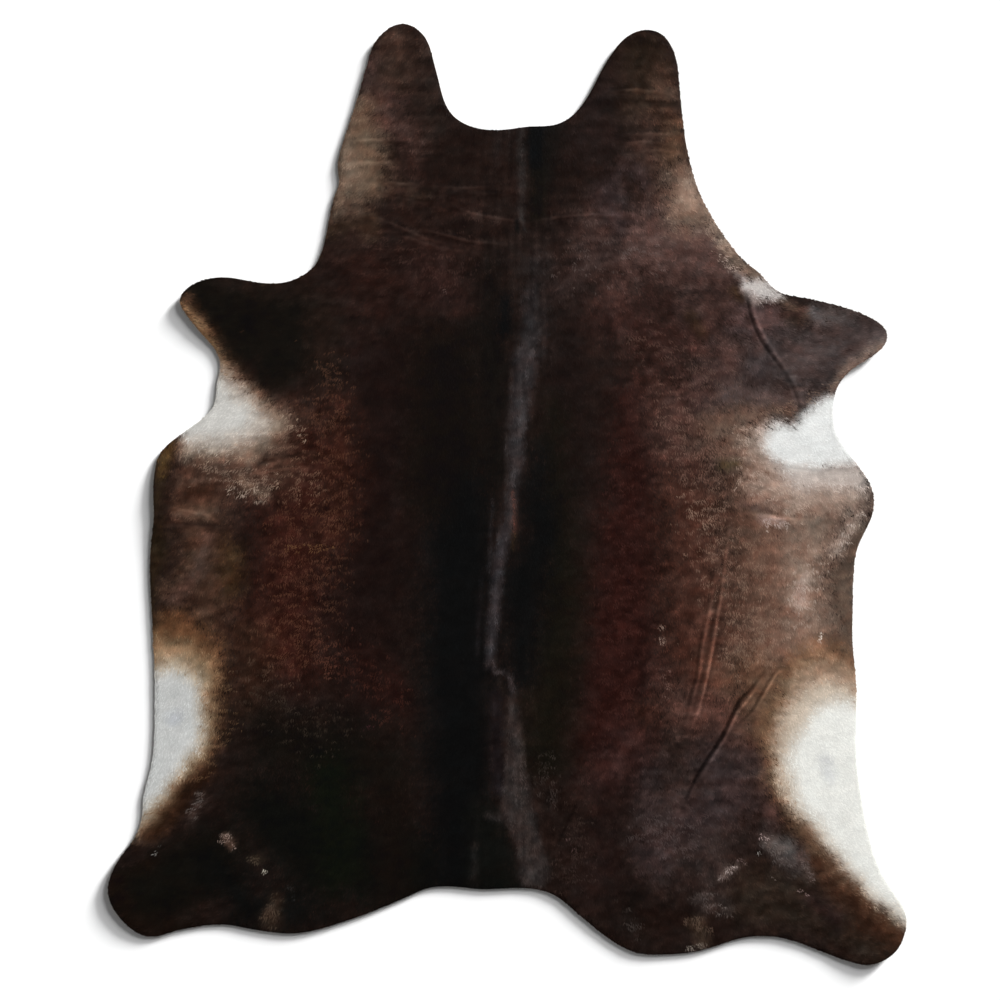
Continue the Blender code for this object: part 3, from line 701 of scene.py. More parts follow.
# single pale or coloured locks among the rest
# name, colour, share of the locks, softness of the border, then the path, in millimetres
coatFlecks = (
    ("left flank gold", (104, 70, 52), 0.18, 50, ((-420, 300, 30), (-450, 0, 90), (-500, -350, 90))),
    ("left chest beige", (110, 88, 74), 0.16, 40, ((-550, 120, 40), (-500, 30, 50))),
    ("left gold band", (100, 72, 44), 0.45, 14, ((-520, -128, 5), (-420, -128, 5))),
    ("left armpit glints", (150, 130, 114), 0.3, 30, ((-720, 70, 15), (-600, 30, 35))),
    ("left armpit sparks", (168, 150, 136), 0.35, 20, ((-650, 15, 8), (-580, -8, 12))),
    ("left armpit strands", (160, 142, 124), 0.26, 20, ((-540, 180, 10), (-490, 155, 12))),
    ("left low grey", (76, 64, 54), 0.12, 50, ((-620, -440, 30), (-450, -560, 60))),
    ("left low rust", (80, 44, 35), 0.18, 50, ((-400, -380, 40), (-280, -500, 40))),
    ("left hind border", (120, 92, 66), 0.16, 30, ((-690, -420, 14), (-670, -550, 14),
        (-730, -670, 12))),
    ("left hind smoke flecks", (130, 122, 118), 0.25, 14, ((-735, -720, 10), (-750, -765, 12))),
    ("left hind dash", (156, 154, 150), 0.9, 3, ((-830, -842, 3), (-842, -862, 3))),
    ("left hind knot", (176, 152, 142), 0.5, 6, ((-682, -824, 9), (-662, -822, 9), (-655, -846, 7))),
    ("left hind low knot", (90, 78, 64), 0.4, 8, ((-612, -876, 8), (-592, -872, 8))),
    ("left hind dot", (204, 196, 180), 0.95, 3, ((-579, -904, 5),)),
    ("left hind scar", (84, 70, 58), 0.3, 14, ((-556, -975, 14), (-566, -1015, 20))),
    ("left hind ash", (60, 58, 58), 0.4, 6, ((-520, -935, 4), (-508, -965, 4))),
    ("left low pink", (96, 48, 60), 0.5, 6, ((-350, -562, 6), (-322, -556, 6))),
    ("left low pink dot", (156, 124, 134), 0.9, 3, ((-338, -586, 4),)),
    ("left shoulder spot", (100, 80, 76), 0.9, 3, ((-148, 488, 4),)),
    ("left shoulder gleams", (70, 50, 44), 0.16, 60, ((-300, 600, 30), (-140, 550, 50))),
    ("right neck dots", (110, 98, 94), 0.05, 50, ((180, 560, 50), (320, 580, 50))),
    ("right shoulder beige", (98, 75, 65), 0.16, 50, ((340, 360, 30), (500, 260, 50))),
    ("right chest beige", (116, 90, 78), 0.24, 50, ((400, 200, 30), (460, 100, 60), (500, 0, 60))),
    ("right armpit strands", (180, 160, 146), 0.24, 30, ((570, 150, 14), (590, 40, 30),
        (700, -30, 20))),
    ("right flank beige", (136, 112, 96), 0.22, 60, ((480, -50, 40), (580, -340, 80))),
    ("right flank bloom", (176, 160, 148), 0.26, 30, ((730, -160, 20), (710, -280, 30))),
    ("right flank dots", (214, 202, 190), 0.8, 3, ((753, -334, 3), (748, -352, 3))),
    ("right flank patch", (140, 118, 106), 0.7, 8, ((370, -312, 4), (372, -352, 6))),
    ("right flank lines", (104, 82, 74), 0.4, 12, ((375, -420, 8), (385, -480, 10))),
    ("right red dots", (70, 42, 37), 0.1, 60, ((280, 100, 30), (270, -500, 60))),
    ("right belly sparks", (200, 186, 176), 0.24, 14, ((842, -55, 6), (800, -120, 8))),
    ("right fold sparks", (184, 170, 164), 0.35, 10, ((605, -62, 7), (665, -68, 9))),
    ("right neck edge", (154, 134, 120), 0.3, 18, ((490, 640, 8), (545, 560, 12), (575, 530, 8))),
    ("right foreleg knot", (178, 158, 148), 0.45, 8, ((515, 566, 7), (537, 542, 10))),
    ("right foreleg rim", (136, 112, 96), 0.3, 12, ((900, 350, 6), (800, 285, 10), (720, 225, 8),
        (620, 195, 8))),
    ("right rump ash", (86, 74, 72), 0.24, 40, ((340, -800, 30), (420, -820, 40))),
    ("right hind smoke flecks", (108, 100, 96), 0.25, 12, ((630, -835, 18), (670, -875, 16))),
    ("right hind stripes", (128, 116, 112), 0.36, 8, ((700, -870, 6), (728, -920, 8))),
    ("right hind pink", (198, 172, 168), 0.6, 5, ((606, -814, 5), (618, -826, 5))),
    ("right hind dot", (216, 212, 206), 0.95, 3, ((600, -856, 4),)),
    ("right hind stroke", (186, 170, 166), 0.5, 6, ((550, -893, 5), (530, -901, 7))),
    ("right hind stroke end", (164, 148, 144), 0.5, 5, ((514, -914, 4), (505, -930, 4))),
    ("right hind blush", (150, 126, 124), 0.4, 6, ((556, -876, 4), (578, -880, 5))),
    ("right low spark", (150, 138, 132), 0.5, 6, ((512, -985, 6), (518, -1000, 5))),
    ("right hind small", (152, 136, 130), 0.7, 4, ((630, -912, 4), (641, -921, 4))),
    ("right hind low pink", (168, 142, 138), 0.5, 5, ((698, -944, 5), (714, -957, 5))),
    ("right low speckle", (108, 98, 94), 0.2, 20, ((460, -965, 20), (510, -990, 20))),
    ("right low knot", (112, 92, 78), 0.28, 12, ((440, -1020, 12), (480, -1050, 14))),
    ("right low gleam", (150, 140, 130), 0.55, 6, ((435, -1087, 6), (475, -1082, 6))),
    ("right low grey", (84, 76, 72), 0.14, 20, ((270, -985, 8), (310, -1050, 10))),
    ("tail flecks", (74, 65, 62), 0.2, 30, ((80, -620, 12), (110, -720, 26))),
    ("tail pink", (146, 110, 110), 0.3, 8, ((142, -832, 6), (158, -846, 6))),
    ("tail low flecks", (70, 56, 50), 0.16, 40, ((160, -760, 30), (160, -900, 40))),
)


def toLinear(seen):
    # from the numbers of a screen colour to linear light
    value = np.asarray(seen, float) / 255.0
    return np.where(value <= 0.04045, value / 12.92, ((value + 0.055) / 1.055) ** 2.4)


paintSettings = {
    "gamma": 2.2,         # marks are blended by eye, so not in linear light
    "haze": 0.0022,       # light that the gloss adds, left out of the colour
    "darkest": 0.0015,
    "whiteGain": 0.17,    # white hair lights its neighbours, so it is painted darker by this
    "white": (0.25, 0.75),  # lightness from which hair begins to count as white, and fully does
    # painted highlights and painted shade of the creases: how much lighter a ridge and how much darker
    # a trough is painted for each millimetre of its height
    "ridgeHighlight": 0.62,
    "troughShade": 0.36,
    # how far places are pushed about, for wavy borders: size, push, seed
    "pushAcross": ((0.055, 0.010, 3), (0.017, 0.005, 4)),
    "pushAlong": ((0.060, 0.014, 5), (0.019, 0.006, 6)),
    "pushReach": 0.02,    # the farthest push
    # blotches: size, strength, seed
    "blotches": ((0.0055, 0.38, 31), (0.011, 0.40, 32), (0.024, 0.27, 33), (0.055, 0.15, 34)),
    "hueDrifts": ((0.010, 0.10, 35), (0.024, 0.09, 36)),
    "hueAxis": (0.6, -0.3, -0.6),
    "stretch": 1.5,       # blotches are longer across the hide than along it
    # blotches and drifts are faint on black hair and on white hair
    "blotchFades": ((0.15, 0.75, 0.001, 0.014), (1.0, -0.35, 0.03, 0.06), (1.0, -0.80, 0.25, 0.75)),
    "hueFades": ((1.0, -0.95, 0.08, 0.40), (0.3, 0.7, 0.001, 0.010)),
    # fine lines: size, how many times as long as wide, strength, seed
    "neckLines": (0.010, 8.0, 0.42, 37),
    "flankLines": (0.008, 3.5, 0.32, 38),
    "spineLines": (0.006, 9.0, 0.45, 39),
    # where they come in: from, to
    "neck": (0.42, 0.62),
    "flanks": (0.16, 0.34),
    "flanksEnd": (0.70, 0.50),
    "spine": (0.13, 0.07),
    "spineAcross": 0.01,
}


def lightness(colour):
    # green counts most, as it does for the eye
    return colour @ np.array((0.3, 0.6, 0.1))


def faded(light, fades):
    # strengths that change as hair gets lighter: strength, its change, from, to
    amount = 1.0
    for strength, change, low, high in fades:
        amount = amount * (strength + change * softStep(low, high, light))
    return amount


def fineLines(across, along):
    # wrinkles across the neck and the flanks, combed streaks down the spine
    size, stretch, strength, seed = paintSettings["neckLines"]
    neck = softStep(*paintSettings["neck"], along)
    tone = strength * neck * waviness(across / stretch, along, size, seed)
    size, stretch, strength, seed = paintSettings["flankLines"]
    flank = softStep(*paintSettings["flanks"], np.abs(across))
    flank *= softStep(*paintSettings["flanksEnd"], along)
    tone += strength * flank * waviness(across / stretch, along, size, seed)
    size, stretch, strength, seed = paintSettings["spineLines"]
    spine = softStep(*paintSettings["spine"], np.abs(across - paintSettings["spineAcross"]))
    return tone + strength * spine * waviness(across, along / stretch, size, seed)


def mottled(across, along, colour):
    # blotches of several sizes, drifts of hue, fine lines, and the creases' painted light and shade:
    # ridges painted lighter, troughs painted darker
    light = lightness(colour)
    wide = across / paintSettings["stretch"]
    tone, hue = (layered(wide, along, paintSettings[kind]) for kind in ("blotches", "hueDrifts"))
    tone = faded(light, paintSettings["blotchFades"]) * (tone + fineLines(across, along))
    # painted highlight on each ridge and painted shade in each trough, by its height
    relief = creaseRelief(across, along) / millimetre
    tone += np.where(relief > 0.0, paintSettings["ridgeHighlight"], paintSettings["troughShade"]) * relief
    hue = (faded(light, paintSettings["hueFades"]) * hue)[:, None] * np.array(paintSettings["hueAxis"])
    return colour * np.exp(tone[:, None] + hue)


def paintCoat(across, along, stray=0.0):
    # the marks are read at places pushed about by some millimetres, for wavy borders;
    # where two colours meet, a stray lock takes more of the one or the other
    pushX, pushY = (layered(across, along, paintSettings[kind]) for kind in ("pushAcross", "pushAlong"))
    gamma = paintSettings["gamma"]
    stray = np.broadcast_to(stray, across.shape)
    colour = np.broadcast_to(toLinear(coatColour) ** (1 / gamma), across.shape + (3,)).copy()
    for name, seen, strength, softness, wavy, path in coatMarks:
        softness, path = softness / perMetre, inMetres(path)
        reach = max(place[2] for place in path) + softness + paintSettings["pushReach"] * wavy
        near = nearPath(across, along, path, reach)
        gap = strokeGap(across[near] + wavy * pushX[near], along[near] + wavy * pushY[near], path)
        share = softStep(softness, -softness, gap)
        # a stray lock differs most half way over the border, where this product is 1
        share = strength * np.clip(share + stray[near] * 4.0 * share * (1.0 - share), 0.0, 1.0)
        colour[near] += share[:, None] * (toLinear(seen) ** (1 / gamma) - colour[near])
    colour = mottled(across, along, colour ** gamma)
    white = softStep(*paintSettings["white"], lightness(colour))
    colour *= (1.0 - paintSettings["whiteGain"] * white)[:, None]
    return np.maximum(colour - paintSettings["haze"], paintSettings["darkest"])


# shader maths
class Value:
    # a node socket that takes part in sums; numbers join in from either side

    def __init__(self, tree, socket):
        self.tree, self.socket = tree, socket

    def maths(self, operation, first, second):
        return node(self.tree, "ShaderNodeMath", {"operation": operation}, first, second)

    def __add__(self, other):
        return self.maths("ADD", self, other)

    def __radd__(self, other):
        return self.maths("ADD", other, self)

    def __sub__(self, other):
        return self.maths("SUBTRACT", self, other)

    def __rsub__(self, other):
        return self.maths("SUBTRACT", other, self)

    def __mul__(self, other):
        return self.maths("MULTIPLY", self, other)

    def __rmul__(self, other):
        return self.maths("MULTIPLY", other, self)


def node(tree, kind, settings, *inputs, output=0, **named):
    # one node: its settings first, then its inputs in order or by name, as values or links
    made = tree.nodes.new(kind)
    for name, setting in settings.items():
        if name == "stops":
            ramp = made.color_ramp
            while len(ramp.elements) < len(setting):
                ramp.elements.new(0.5)
            for element, (place, colour) in zip(ramp.elements, setting):
                element.position = place
                element.color = (*colour, 1.0)
        else:
            setattr(made, name, setting)
    pairs = list(enumerate(inputs)) + [(name.replace("_", " "), value) for name, value in named.items()]
    for name, value in pairs:
        if isinstance(value, Value):
            tree.links.new(value.socket, made.inputs[name])
        else:
            made.inputs[name].default_value = value
    return Value(tree, made.outputs[output]) if made.outputs else None


# which way the hair lies
hairSettings = {
    "everywhere": 0.004,    # how much a parting still counts far away
    "outward": 0.28,        # turn away from the spine, in radians
    "outwardSoon": 0.25,    # how far from the spine most of that turn is reached
    "outwardReach": 0.55,   # and how far it lasts
    "swing": ((0.090, 0.16, 21), (0.030, 0.12, 22)),  # size, turn in radians, seed
    # across, along, reach, then the direction the hair points in there
    "partings": (
        (0.00, 0.00, 0.60, 0.00, -1.00),     # down the back to the tail
        (-0.30, 1.00, 0.14, -0.45, -0.90),   # neck flaps
        (0.36, 1.00, 0.14, 0.45, -0.90),
        (-0.40, 0.55, 0.16, -0.80, -0.60),   # shoulders
        (0.48, 0.50, 0.16, 0.80, -0.60),
        (-0.70, 0.44, 0.14, -1.00, 0.10),    # forelegs
        (0.80, 0.38, 0.14, 1.00, 0.05),
        (-0.62, 0.15, 0.12, -0.85, -0.50),   # armpits
        (0.72, 0.12, 0.14, 0.90, -0.45),
        (-0.76, -0.10, 0.16, -0.35, -0.95),  # belly
        (0.76, -0.15, 0.16, 0.30, -0.95),
        (-0.80, -0.52, 0.14, -0.40, -0.92),  # flanks before the hind legs
        (0.78, -0.55, 0.14, 0.70, -0.72),
        (-0.80, -0.92, 0.18, -0.85, -0.55),  # hind legs
        (0.84, -0.98, 0.18, 0.85, -0.55),
        (-0.45, -0.95, 0.16, -0.15, -1.00),
        (0.42, -0.98, 0.16, 0.20, -1.00),
    ),
}


def hairDirection(across, along):
    # the partings blend into one another, and the hair swings a little as it lies
    total = np.zeros(across.shape + (2,))
    for placeX, placeY, reach, pointX, pointY in hairSettings["partings"]:
        away = np.hypot(across - placeX, along - placeY) / reach
        length = math.hypot(pointX, pointY)
        weight = hairSettings["everywhere"] + np.exp(-away ** 2)
        total += weight[:, None] * np.array((pointX / length, pointY / length))
    outward = hairSettings["outward"] * np.tanh(across / hairSettings["outwardSoon"])
    outward *= np.exp(-(across / hairSettings["outwardReach"]) ** 2)
    angle = np.arctan2(total[:, 1], total[:, 0])
    return angle + outward + layered(across, along, hairSettings["swing"])


# skin: the tanned leather, with its flesh side down
skinSettings = {
    "pitch": 14 * millimetre,
    "inset": 2.5 * millimetre,
    "thickness": 2 * millimetre,
    "floorGap": 0.2 * millimetre,
}


def skinUnder(across, along):
    return np.maximum(hideTop(across, along) - rugSettings["hideThickness"], skinSettings["floorGap"])


def skinTop(across, along):
    return skinUnder(across, along) + skinSettings["thickness"]


def makeSkin():
    work = cutSheet(skinSettings["pitch"], skinSettings["inset"], skinUnder, skinTop, topIsLast=False)
    flatArea = sum(face.calc_area() for face in work.faces if face.normal.z > 0.5)
    skin = addPiece("skin", meshFrom(work, "skin"), suedeMaterial())
    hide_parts("hide")
    print("skin:", len(skin.data.polygons), "faces,", round(flatArea, 3), "m2 cut")
    return skin, flatArea


# coat: the mat of short hair on the skin
coatSettings = {
    "pitch": 10 * millimetre,
    "inset": 1.6 * millimetre,
    "gap": 0.05 * millimetre,        # between the skin and the coat
    "least": 0.6 * millimetre,       # thinnest place, in the bottom of a trough
    "rimDrop": 2.2 * millimetre,     # how far the coat rounds down at its cut edge
    "rimReach": 9 * millimetre,
    "rimRound": 0.6,
    "shade": 0.90,                   # the mat lies a little in the shade of its locks
}


def coatUnder(across, along):
    return skinTop(across, along) + coatSettings["gap"]


def coatTop(across, along):
    inside = hideMap.inFromRim(across, along) / coatSettings["rimReach"]
    drop = coatSettings["rimDrop"] * (1.0 - softStep(0.0, 1.0, inside) ** coatSettings["rimRound"])
    return np.maximum(hideTop(across, along) - drop, skinTop(across, along) + coatSettings["least"])


def makeCoat():
    work = cutSheet(coatSettings["pitch"], coatSettings["inset"], coatUnder, coatTop, topIsLast=True)
    mesh = meshFrom(work, "coat")
    places = vertPlaces(mesh)
    setColour(mesh, coatSettings["shade"] * paintCoat(places[:, 0], places[:, 1]))
    coat = addPiece("coat", mesh, hairMaterial("coatHair", finishSettings["coatBump"]))
    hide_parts("hide")
    print("coat:", len(mesh.polygons), "faces")
    return coat


# locks: small flat tufts of hair that lie over one another like shingles
lockSettings = {
    "spacing": 4.15 * millimetre,
    "length": (7 * millimetre, 10 * millimetre),
    "width": (3.0 * millimetre, 4.0 * millimetre),
    "thickness": 0.17 * millimetre,  # at the crown, above the coat
    "crown": 0.30,                   # where it is thickest, as a share of its length
    "sunk": 0.14 * millimetre,       # how deep its root lies in the coat
    "roll": 0.04,
    "tipLift": (0.12 * millimetre, 0.50 * millimetre),
    "rimGap": 1.2 * millimetre,      # roots lie at least this far in
    "overhang": 0.3 * millimetre,    # how far hair reaches past the cut edge at most
    "overhangShare": (0.2, 1.0),
    "least": (0.25, 0.5),            # shortest and narrowest lock, as shares
    "splay": 0.36,                   # turn from its neighbours, in radians
    "creaseReach": 12 * millimetre,  # locks this near to a crease are short, so that it shows
    "creaseLength": 0.40,
    "creaseLift": 0.4,
    "colourShift": 1.0 * millimetre,
    "clumps": ((0.007, 1.0, 41), (0.013, 1.0, 42)),  # size, strength, seed
    "stray": 0.20,                   # how much two colours mix lock by lock where they meet
    "straySpread": 0.8,
    "uneven": 0.08,                  # how much one lock is lighter than the next
    "unevenFades": ((1.0, -0.7, 0.40, 0.80),),
    "shades": (0.92, 0.92, 1.0, 1.05),  # both root corners lie in shade, the tip catches light
    "shadeFades": ((1.0, -0.6, 0.3, 0.7),),  # white hair shades itself less
    "lightest": 0.95,                # no lock reflects more light than this
    "strips": 4,
}
fleckSettings = {
    "clumps": 0.8,                   # how much the flecks gather
    "grain": (5.5 * millimetre, 43),  # size, seed
    "stretch": 3.0,                  # they lie side by side in short rows across the hide
    "stray": 0.08,
    "peak": (0.38, 0.62),            # strongest fleck of a faint spread, and what a thick one adds
    "reach": (0.001, 2.0),           # the least and the most that a mark takes of its locks
    "scarShare": 0.35,               # flecks as thick as this are scars, where the hair is short
    "scarLength": 0.5,
}


def fleckPlaces(across, along, softness, path):
    softness, path = softness / perMetre, inMetres(path)
    near = nearPath(across, along, path, max(place[2] for place in path) + softness)
    return near, softStep(softness, -softness, strokeGap(across[near], along[near], path))


def scarred(across, along):
    scars = np.zeros(across.shape)
    for name, seen, share, softness, path in coatFlecks:
        if share > fleckSettings["scarShare"]:
            near, inside = fleckPlaces(across, along, softness, path)
            scars[near] = np.maximum(scars[near], inside)
    return scars


def makeLocks():
    draw = np.random.default_rng(rugSettings["seed"])
    spacing = lockSettings["spacing"]
    columns = np.arange(cadLow.x, cadHigh.x, spacing)
    rows = np.arange(cadLow.y, cadHigh.y, spacing)
    across, along = (grid.ravel() for grid in np.meshgrid(columns, rows))
    across = across + spacing * draw.uniform(-0.5, 0.5, across.shape)
    along = along + spacing * draw.uniform(-0.5, 0.5, along.shape)
    inside = hideMap.inFromRim(across, along)
    kept = inside > lockSettings["rimGap"]
    across, along, inside = across[kept], along[kept], inside[kept]
    count = len(across)

    angle = hairDirection(across, along) + lockSettings["splay"] * draw.normal(0.0, 1.0, count)
    length = draw.uniform(*lockSettings["length"], count)
    width = draw.uniform(*lockSettings["width"], count)
    pointX, pointY = np.cos(angle), np.sin(angle)
    flatness = softStep(0.0, 1.0, creaseGap(across, along) / lockSettings["creaseReach"])
    length *= lockSettings["creaseLength"] + (1.0 - lockSettings["creaseLength"]) * flatness
    tipGap = hideMap.inFromRim(across + length * pointX, along + length * pointY)
    overhang = draw.uniform(*lockSettings["overhangShare"], count) * lockSettings["overhang"]
    over = tipGap < -overhang
    shortest, narrowest = lockSettings["least"]
    fitted = (inside[over] + overhang[over]) / (inside[over] - tipGap[over])
    length[over] *= np.clip(fitted, shortest, 1.0)
    width *= np.clip(length / lockSettings["length"][0], narrowest, 1.0)
    length *= 1.0 - (1.0 - fleckSettings["scarLength"]) * scarred(across, along)

    def corner(forward, sideways, lift):
        x = across + forward * pointX - sideways * pointY
        y = along + forward * pointY + sideways * pointX
        return np.stack([x, y, coatTop(x, y) + lift], axis=1)

    roll = draw.normal(0.0, lockSettings["roll"], count) * width
    lift = lockSettings["creaseLift"] + (1.0 - lockSettings["creaseLift"]) * flatness
    tip = corner(length, 0.0, draw.uniform(*lockSettings["tipLift"], count) * lift)
    left = corner(0.0, width / 2, roll - lockSettings["sunk"])
    right = corner(0.0, -width / 2, -roll - lockSettings["sunk"])
    crown = corner(lockSettings["crown"] * length, 0.0, lockSettings["thickness"])
    colour = lockColours(across, along, draw)

    shares = np.linspace(0.0, 1.0, lockSettings["strips"] + 1)[1:-1]
    strip = np.searchsorted(np.quantile(across, shares), across)
    pieces = []
    triangles = np.array(((0, 2, 1), (0, 3, 2), (2, 3, 1), (0, 1, 3)))  # back, left, right, underneath
    for number in range(lockSettings["strips"]):
        chosen = np.flatnonzero(strip == number)
        places = np.stack([left[chosen], right[chosen], crown[chosen], tip[chosen]], axis=1)
        faces = triangles[None] + 4 * np.arange(len(chosen))[:, None, None]
        mesh = bpy.data.meshes.new(f"hair{number + 1}")
        mesh.from_pydata(places.reshape(-1, 3), [], faces.reshape(-1, 3))
        mesh.shade_flat()
        flat = faded(colour[chosen, 1], lockSettings["shadeFades"])
        shades = 1.0 + (np.array(lockSettings["shades"]) - 1.0)[None, :, None] * flat[:, None, None]
        setColour(mesh, np.clip(colour[chosen][:, None, :] * shades, 0.0, 1.0).reshape(-1, 3))
        pieces.append(addPiece(mesh.name, mesh, lockMaterial))
        print(mesh.name + ":", len(chosen), "locks")
    for piece in pieces:
        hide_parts("hide")
    return pieces


def lockColours(across, along, draw):
    # each lock takes the colour of a place near it, so that borders mix hair by hair
    count = len(across)
    shift = draw.normal(0.0, lockSettings["colourShift"], (2, count))
    clumps = layered(across, along, lockSettings["clumps"])
    stray = lockSettings["stray"] * (draw.normal(0.0, lockSettings["straySpread"], count) + clumps)
    colour = paintCoat(across + shift[0], along + shift[1], stray)
    uneven = lockSettings["uneven"] * faded(lightness(colour), lockSettings["unevenFades"])
    colour *= np.exp(uneven * draw.normal(0.0, 1.0, count))[:, None]
    gamma = paintSettings["gamma"]
    grain = waviness(across / fleckSettings["stretch"], along, *fleckSettings["grain"])
    grain += fleckSettings["stray"] * draw.normal(0.0, 1.0, count)
    chance = np.argsort(np.argsort(grain)) / count  # even between 0 and 1, and alike for neighbours
    for name, seen, share, softness, path in coatFlecks:
        near, inside = fleckPlaces(across, along, softness, path)
        # a few flecks are strong, and a faint spread has many weak ones
        peak = fleckSettings["peak"][0] + fleckSettings["peak"][1] * share
        reach = 2.0 * share / peak * inside * (1.0 + fleckSettings["clumps"] * clumps[near])
        reach = np.clip(reach, *fleckSettings["reach"])
        blend = peak * np.clip(1.0 - chance[near] / reach, 0.0, 1.0)[:, None]
        bright = (1.0 - blend) * colour[near] ** (1.0 / gamma) + blend * toLinear(seen) ** (1.0 / gamma)
        colour[near] = bright ** gamma
    return np.clip(colour, 0.0, lockSettings["lightest"])


# finishes
finishSettings = {
    "combed": (900.0, 210.0, 400.0),  # how fine the streaks of the hair are, each way
    "hairTone": (0.80, 0.40),         # darkest streak, and how much lighter the lightest is
    "hairRoughness": (0.42, 0.2),     # least, and what the streaks add
    "hairGloss": 0.04,
    "coatBump": 0.5,
    "lockBump": 0.15,
    "hairDepth": 0.6 * millimetre,
    "suedeBlotches": 9.0,             # how fine they are
    "suedeNap": 1300.0,
    "suedeMix": (0.7, 0.3),           # how much the one and the other colour it
    "suedeStops": ((0.30, (0.27, 0.19, 0.13)), (0.50, (0.42, 0.33, 0.24)), (0.70, (0.55, 0.47, 0.37))),
    "suedeDepth": 0.4 * millimetre,
    "floorTone": (0.92, 0.02),
}


def newMaterial(name):
    material = bpy.data.materials.new(name)
    material.use_nodes = True
    tree = material.node_tree
    tree.nodes.clear()
    return material, tree


def finishMaterial(tree, **sockets):
    shader = node(tree, "ShaderNodeBsdfPrincipled", {}, **sockets)
    node(tree, "ShaderNodeOutputMaterial", {}, shader)


def hairMaterial(name, bump):
    # glossy short hair: its colour from the painted marks, finely streaked
    material, tree = newMaterial(name)
    place = node(tree, "ShaderNodeTexCoord", {}, output=3)
    painted = node(tree, "ShaderNodeAttribute", {"attribute_name": "hairColour"})
    combed = node(tree, "ShaderNodeMapping", {}, place, Scale=finishSettings["combed"])
    strands = node(tree, "ShaderNodeTexNoise", {}, Vector=combed, Scale=1.0, Detail=3.0)
    darkest, lighter = finishSettings["hairTone"]
    tone = darkest + strands * lighter
    colour = node(tree, "ShaderNodeVectorMath", {"operation": "SCALE"}, painted, Scale=tone)
    smoothest, rougher = finishSettings["hairRoughness"]
    depth, gloss = finishSettings["hairDepth"], finishSettings["hairGloss"]
    raised = node(tree, "ShaderNodeBump", {}, Strength=bump, Distance=depth, Height=strands)
    finishMaterial(tree, Base_Color=colour, Roughness=smoothest + strands * rougher, Normal=raised,
                   Specular_IOR_Level=gloss)
    return material


def suedeMaterial():
    # the flesh side: pale tanned suede with soft blotches and a fine nap
    material, tree = newMaterial("suede")
    place = node(tree, "ShaderNodeTexCoord", {}, output=3)
    blotches = node(tree, "ShaderNodeTexNoise", {}, Vector=place, Scale=finishSettings["suedeBlotches"],
                    Detail=4.0)
    nap = node(tree, "ShaderNodeTexNoise", {}, Vector=place, Scale=finishSettings["suedeNap"],
               Detail=3.0)
    coarse, fine = finishSettings["suedeMix"]
    stops = {"stops": finishSettings["suedeStops"]}
    colour = node(tree, "ShaderNodeValToRGB", stops, blotches * coarse + nap * fine)
    depth = finishSettings["suedeDepth"]
    raised = node(tree, "ShaderNodeBump", {}, Strength=0.6, Distance=depth, Height=nap)
    finishMaterial(tree, Base_Color=colour, Roughness=0.9, Normal=raised, Specular_IOR_Level=0.2)
    return material


def floorMaterial():
    material, tree = newMaterial("paleFloor")
    place = node(tree, "ShaderNodeTexCoord", {}, output=3)
    grain = node(tree, "ShaderNodeTexNoise", {}, Vector=place, Scale=2.0, Detail=2.0)
    darkest, lighter = finishSettings["floorTone"]
    tone = darkest + grain * lighter
    colour = node(tree, "ShaderNodeCombineXYZ", {}, tone, tone, tone)
    finishMaterial(tree, Base_Color=colour, Roughness=0.8, Specular_IOR_Level=0.1)
    return material


lockMaterial = hairMaterial("lockHair", finishSettings["lockBump"])
skin, cutArea = makeSkin()
coat = makeCoat()
hair = makeLocks()

# floor, light and camera
stageSettings = {
    "floorSize": 80.0,
    "floorDrop": 0.3 * millimetre,
    "cameraHeight": 5.667,
    "lens": 85.0,              # with this sensor 2.4 m of floor fills the frame
    "sensor": 36.0,
    "cameraPlace": (-0.0168, -0.0138),  # the photo's middle lies a little off the hide's
    "sky": ((0.05, (0.95, 0.95, 0.95)), (0.35, (0.16, 0.16, 0.16)), (1.0, (0.09, 0.09, 0.09))),
}
lightSettings = {
    # azimuth from +X and elevation in degrees, distance; the key stands to the upper right
    "key": ("AREA", (38.0, 40.0, 12.0), {"energy": 1830.0, "shape": "DISK", "size": 4.8}),
    "fill": ("AREA", (165.0, 50.0, 12.0), {"energy": 476.0, "shape": "DISK", "size": 7.2}),
    # the floor's light comes in low and wide, so that the thin hide has a broad soft shadow
    "lowSun": ("SUN", (46.0, 8.5, 12.0), {"energy": 14.8, "angle": math.radians(10.0)}),
    "highSun": ("SUN", (46.0, 20.0, 12.0), {"energy": 3.15, "angle": math.radians(24.0)}),
}


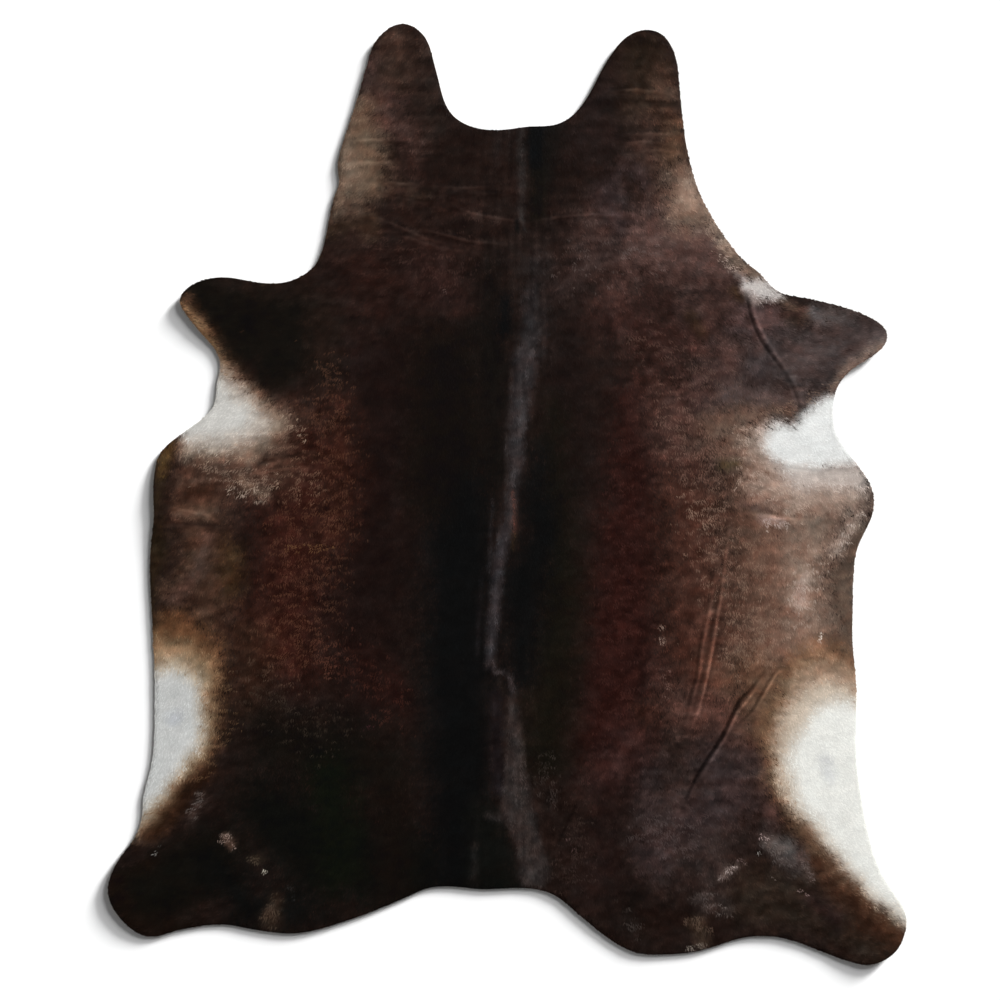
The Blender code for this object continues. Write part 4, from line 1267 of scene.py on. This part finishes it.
def makeFloor():
    work = bmesh.new()
    bmesh.ops.create_grid(work, x_segments=1, y_segments=1, size=stageSettings["floorSize"] / 2)
    bmesh.ops.translate(work, vec=(0.0, 0.0, -stageSettings["floorDrop"]), verts=work.verts)
    mesh = bpy.data.meshes.new("floor")
    work.to_mesh(mesh)
    work.free()
    mesh.materials.append(floorMaterial())
    floor = addObject("floor", mesh)
    return floor


def lightOnly(light, things):
    # this light falls on these things alone
    receivers = bpy.data.collections.new(light.name + "Receivers")
    for thing in things:
        receivers.objects.link(thing)
    light.light_linking.receiver_collection = receivers


def addLight(name, kind, aim, settings):
    data = bpy.data.lights.new(name, kind)
    for key, value in settings.items():
        setattr(data, key, value)
    light = addObject(name, data)
    azimuth, elevation, distance = math.radians(aim[0]), math.radians(aim[1]), aim[2]
    level = math.cos(elevation)
    toLight = Vector((math.cos(azimuth) * level, math.sin(azimuth) * level, math.sin(elevation)))
    light.location = toLight * distance
    light.rotation_euler = toLight.to_track_quat("Z", "Y").to_euler()
    light.visible_camera = False
    return light


floor = makeFloor()
rugParts = [skin, coat, *hair]
for name, (kind, aim, settings) in lightSettings.items():
    # the suns light the floor alone, the lamps light the rug alone
    lightOnly(addLight(name, kind, aim, settings), [floor] if kind == "SUN" else rugParts)


def makeWorld():
    world = bpy.data.worlds.new("studio")
    bpy.context.scene.world = world
    world.use_nodes = True
    tree = world.node_tree
    tree.nodes.clear()
    direction = node(tree, "ShaderNodeTexCoord", {}, output=0)
    upward = node(tree, "ShaderNodeSeparateXYZ", {}, direction, output=2)
    sky = node(tree, "ShaderNodeValToRGB", {"stops": stageSettings["sky"]}, upward)
    background = node(tree, "ShaderNodeBackground", {}, sky, 1.0)
    node(tree, "ShaderNodeOutputWorld", {}, background)


makeWorld()
cameraData = bpy.data.cameras.new("camera")
cameraData.lens = stageSettings["lens"]
cameraData.sensor_width = stageSettings["sensor"]
camera = addObject("camera", cameraData)
camera.location = (*stageSettings["cameraPlace"], stageSettings["cameraHeight"])
bpy.context.scene.camera = camera
bpy.context.scene.view_settings.view_transform = "Standard"
print("stage, lights and camera set")
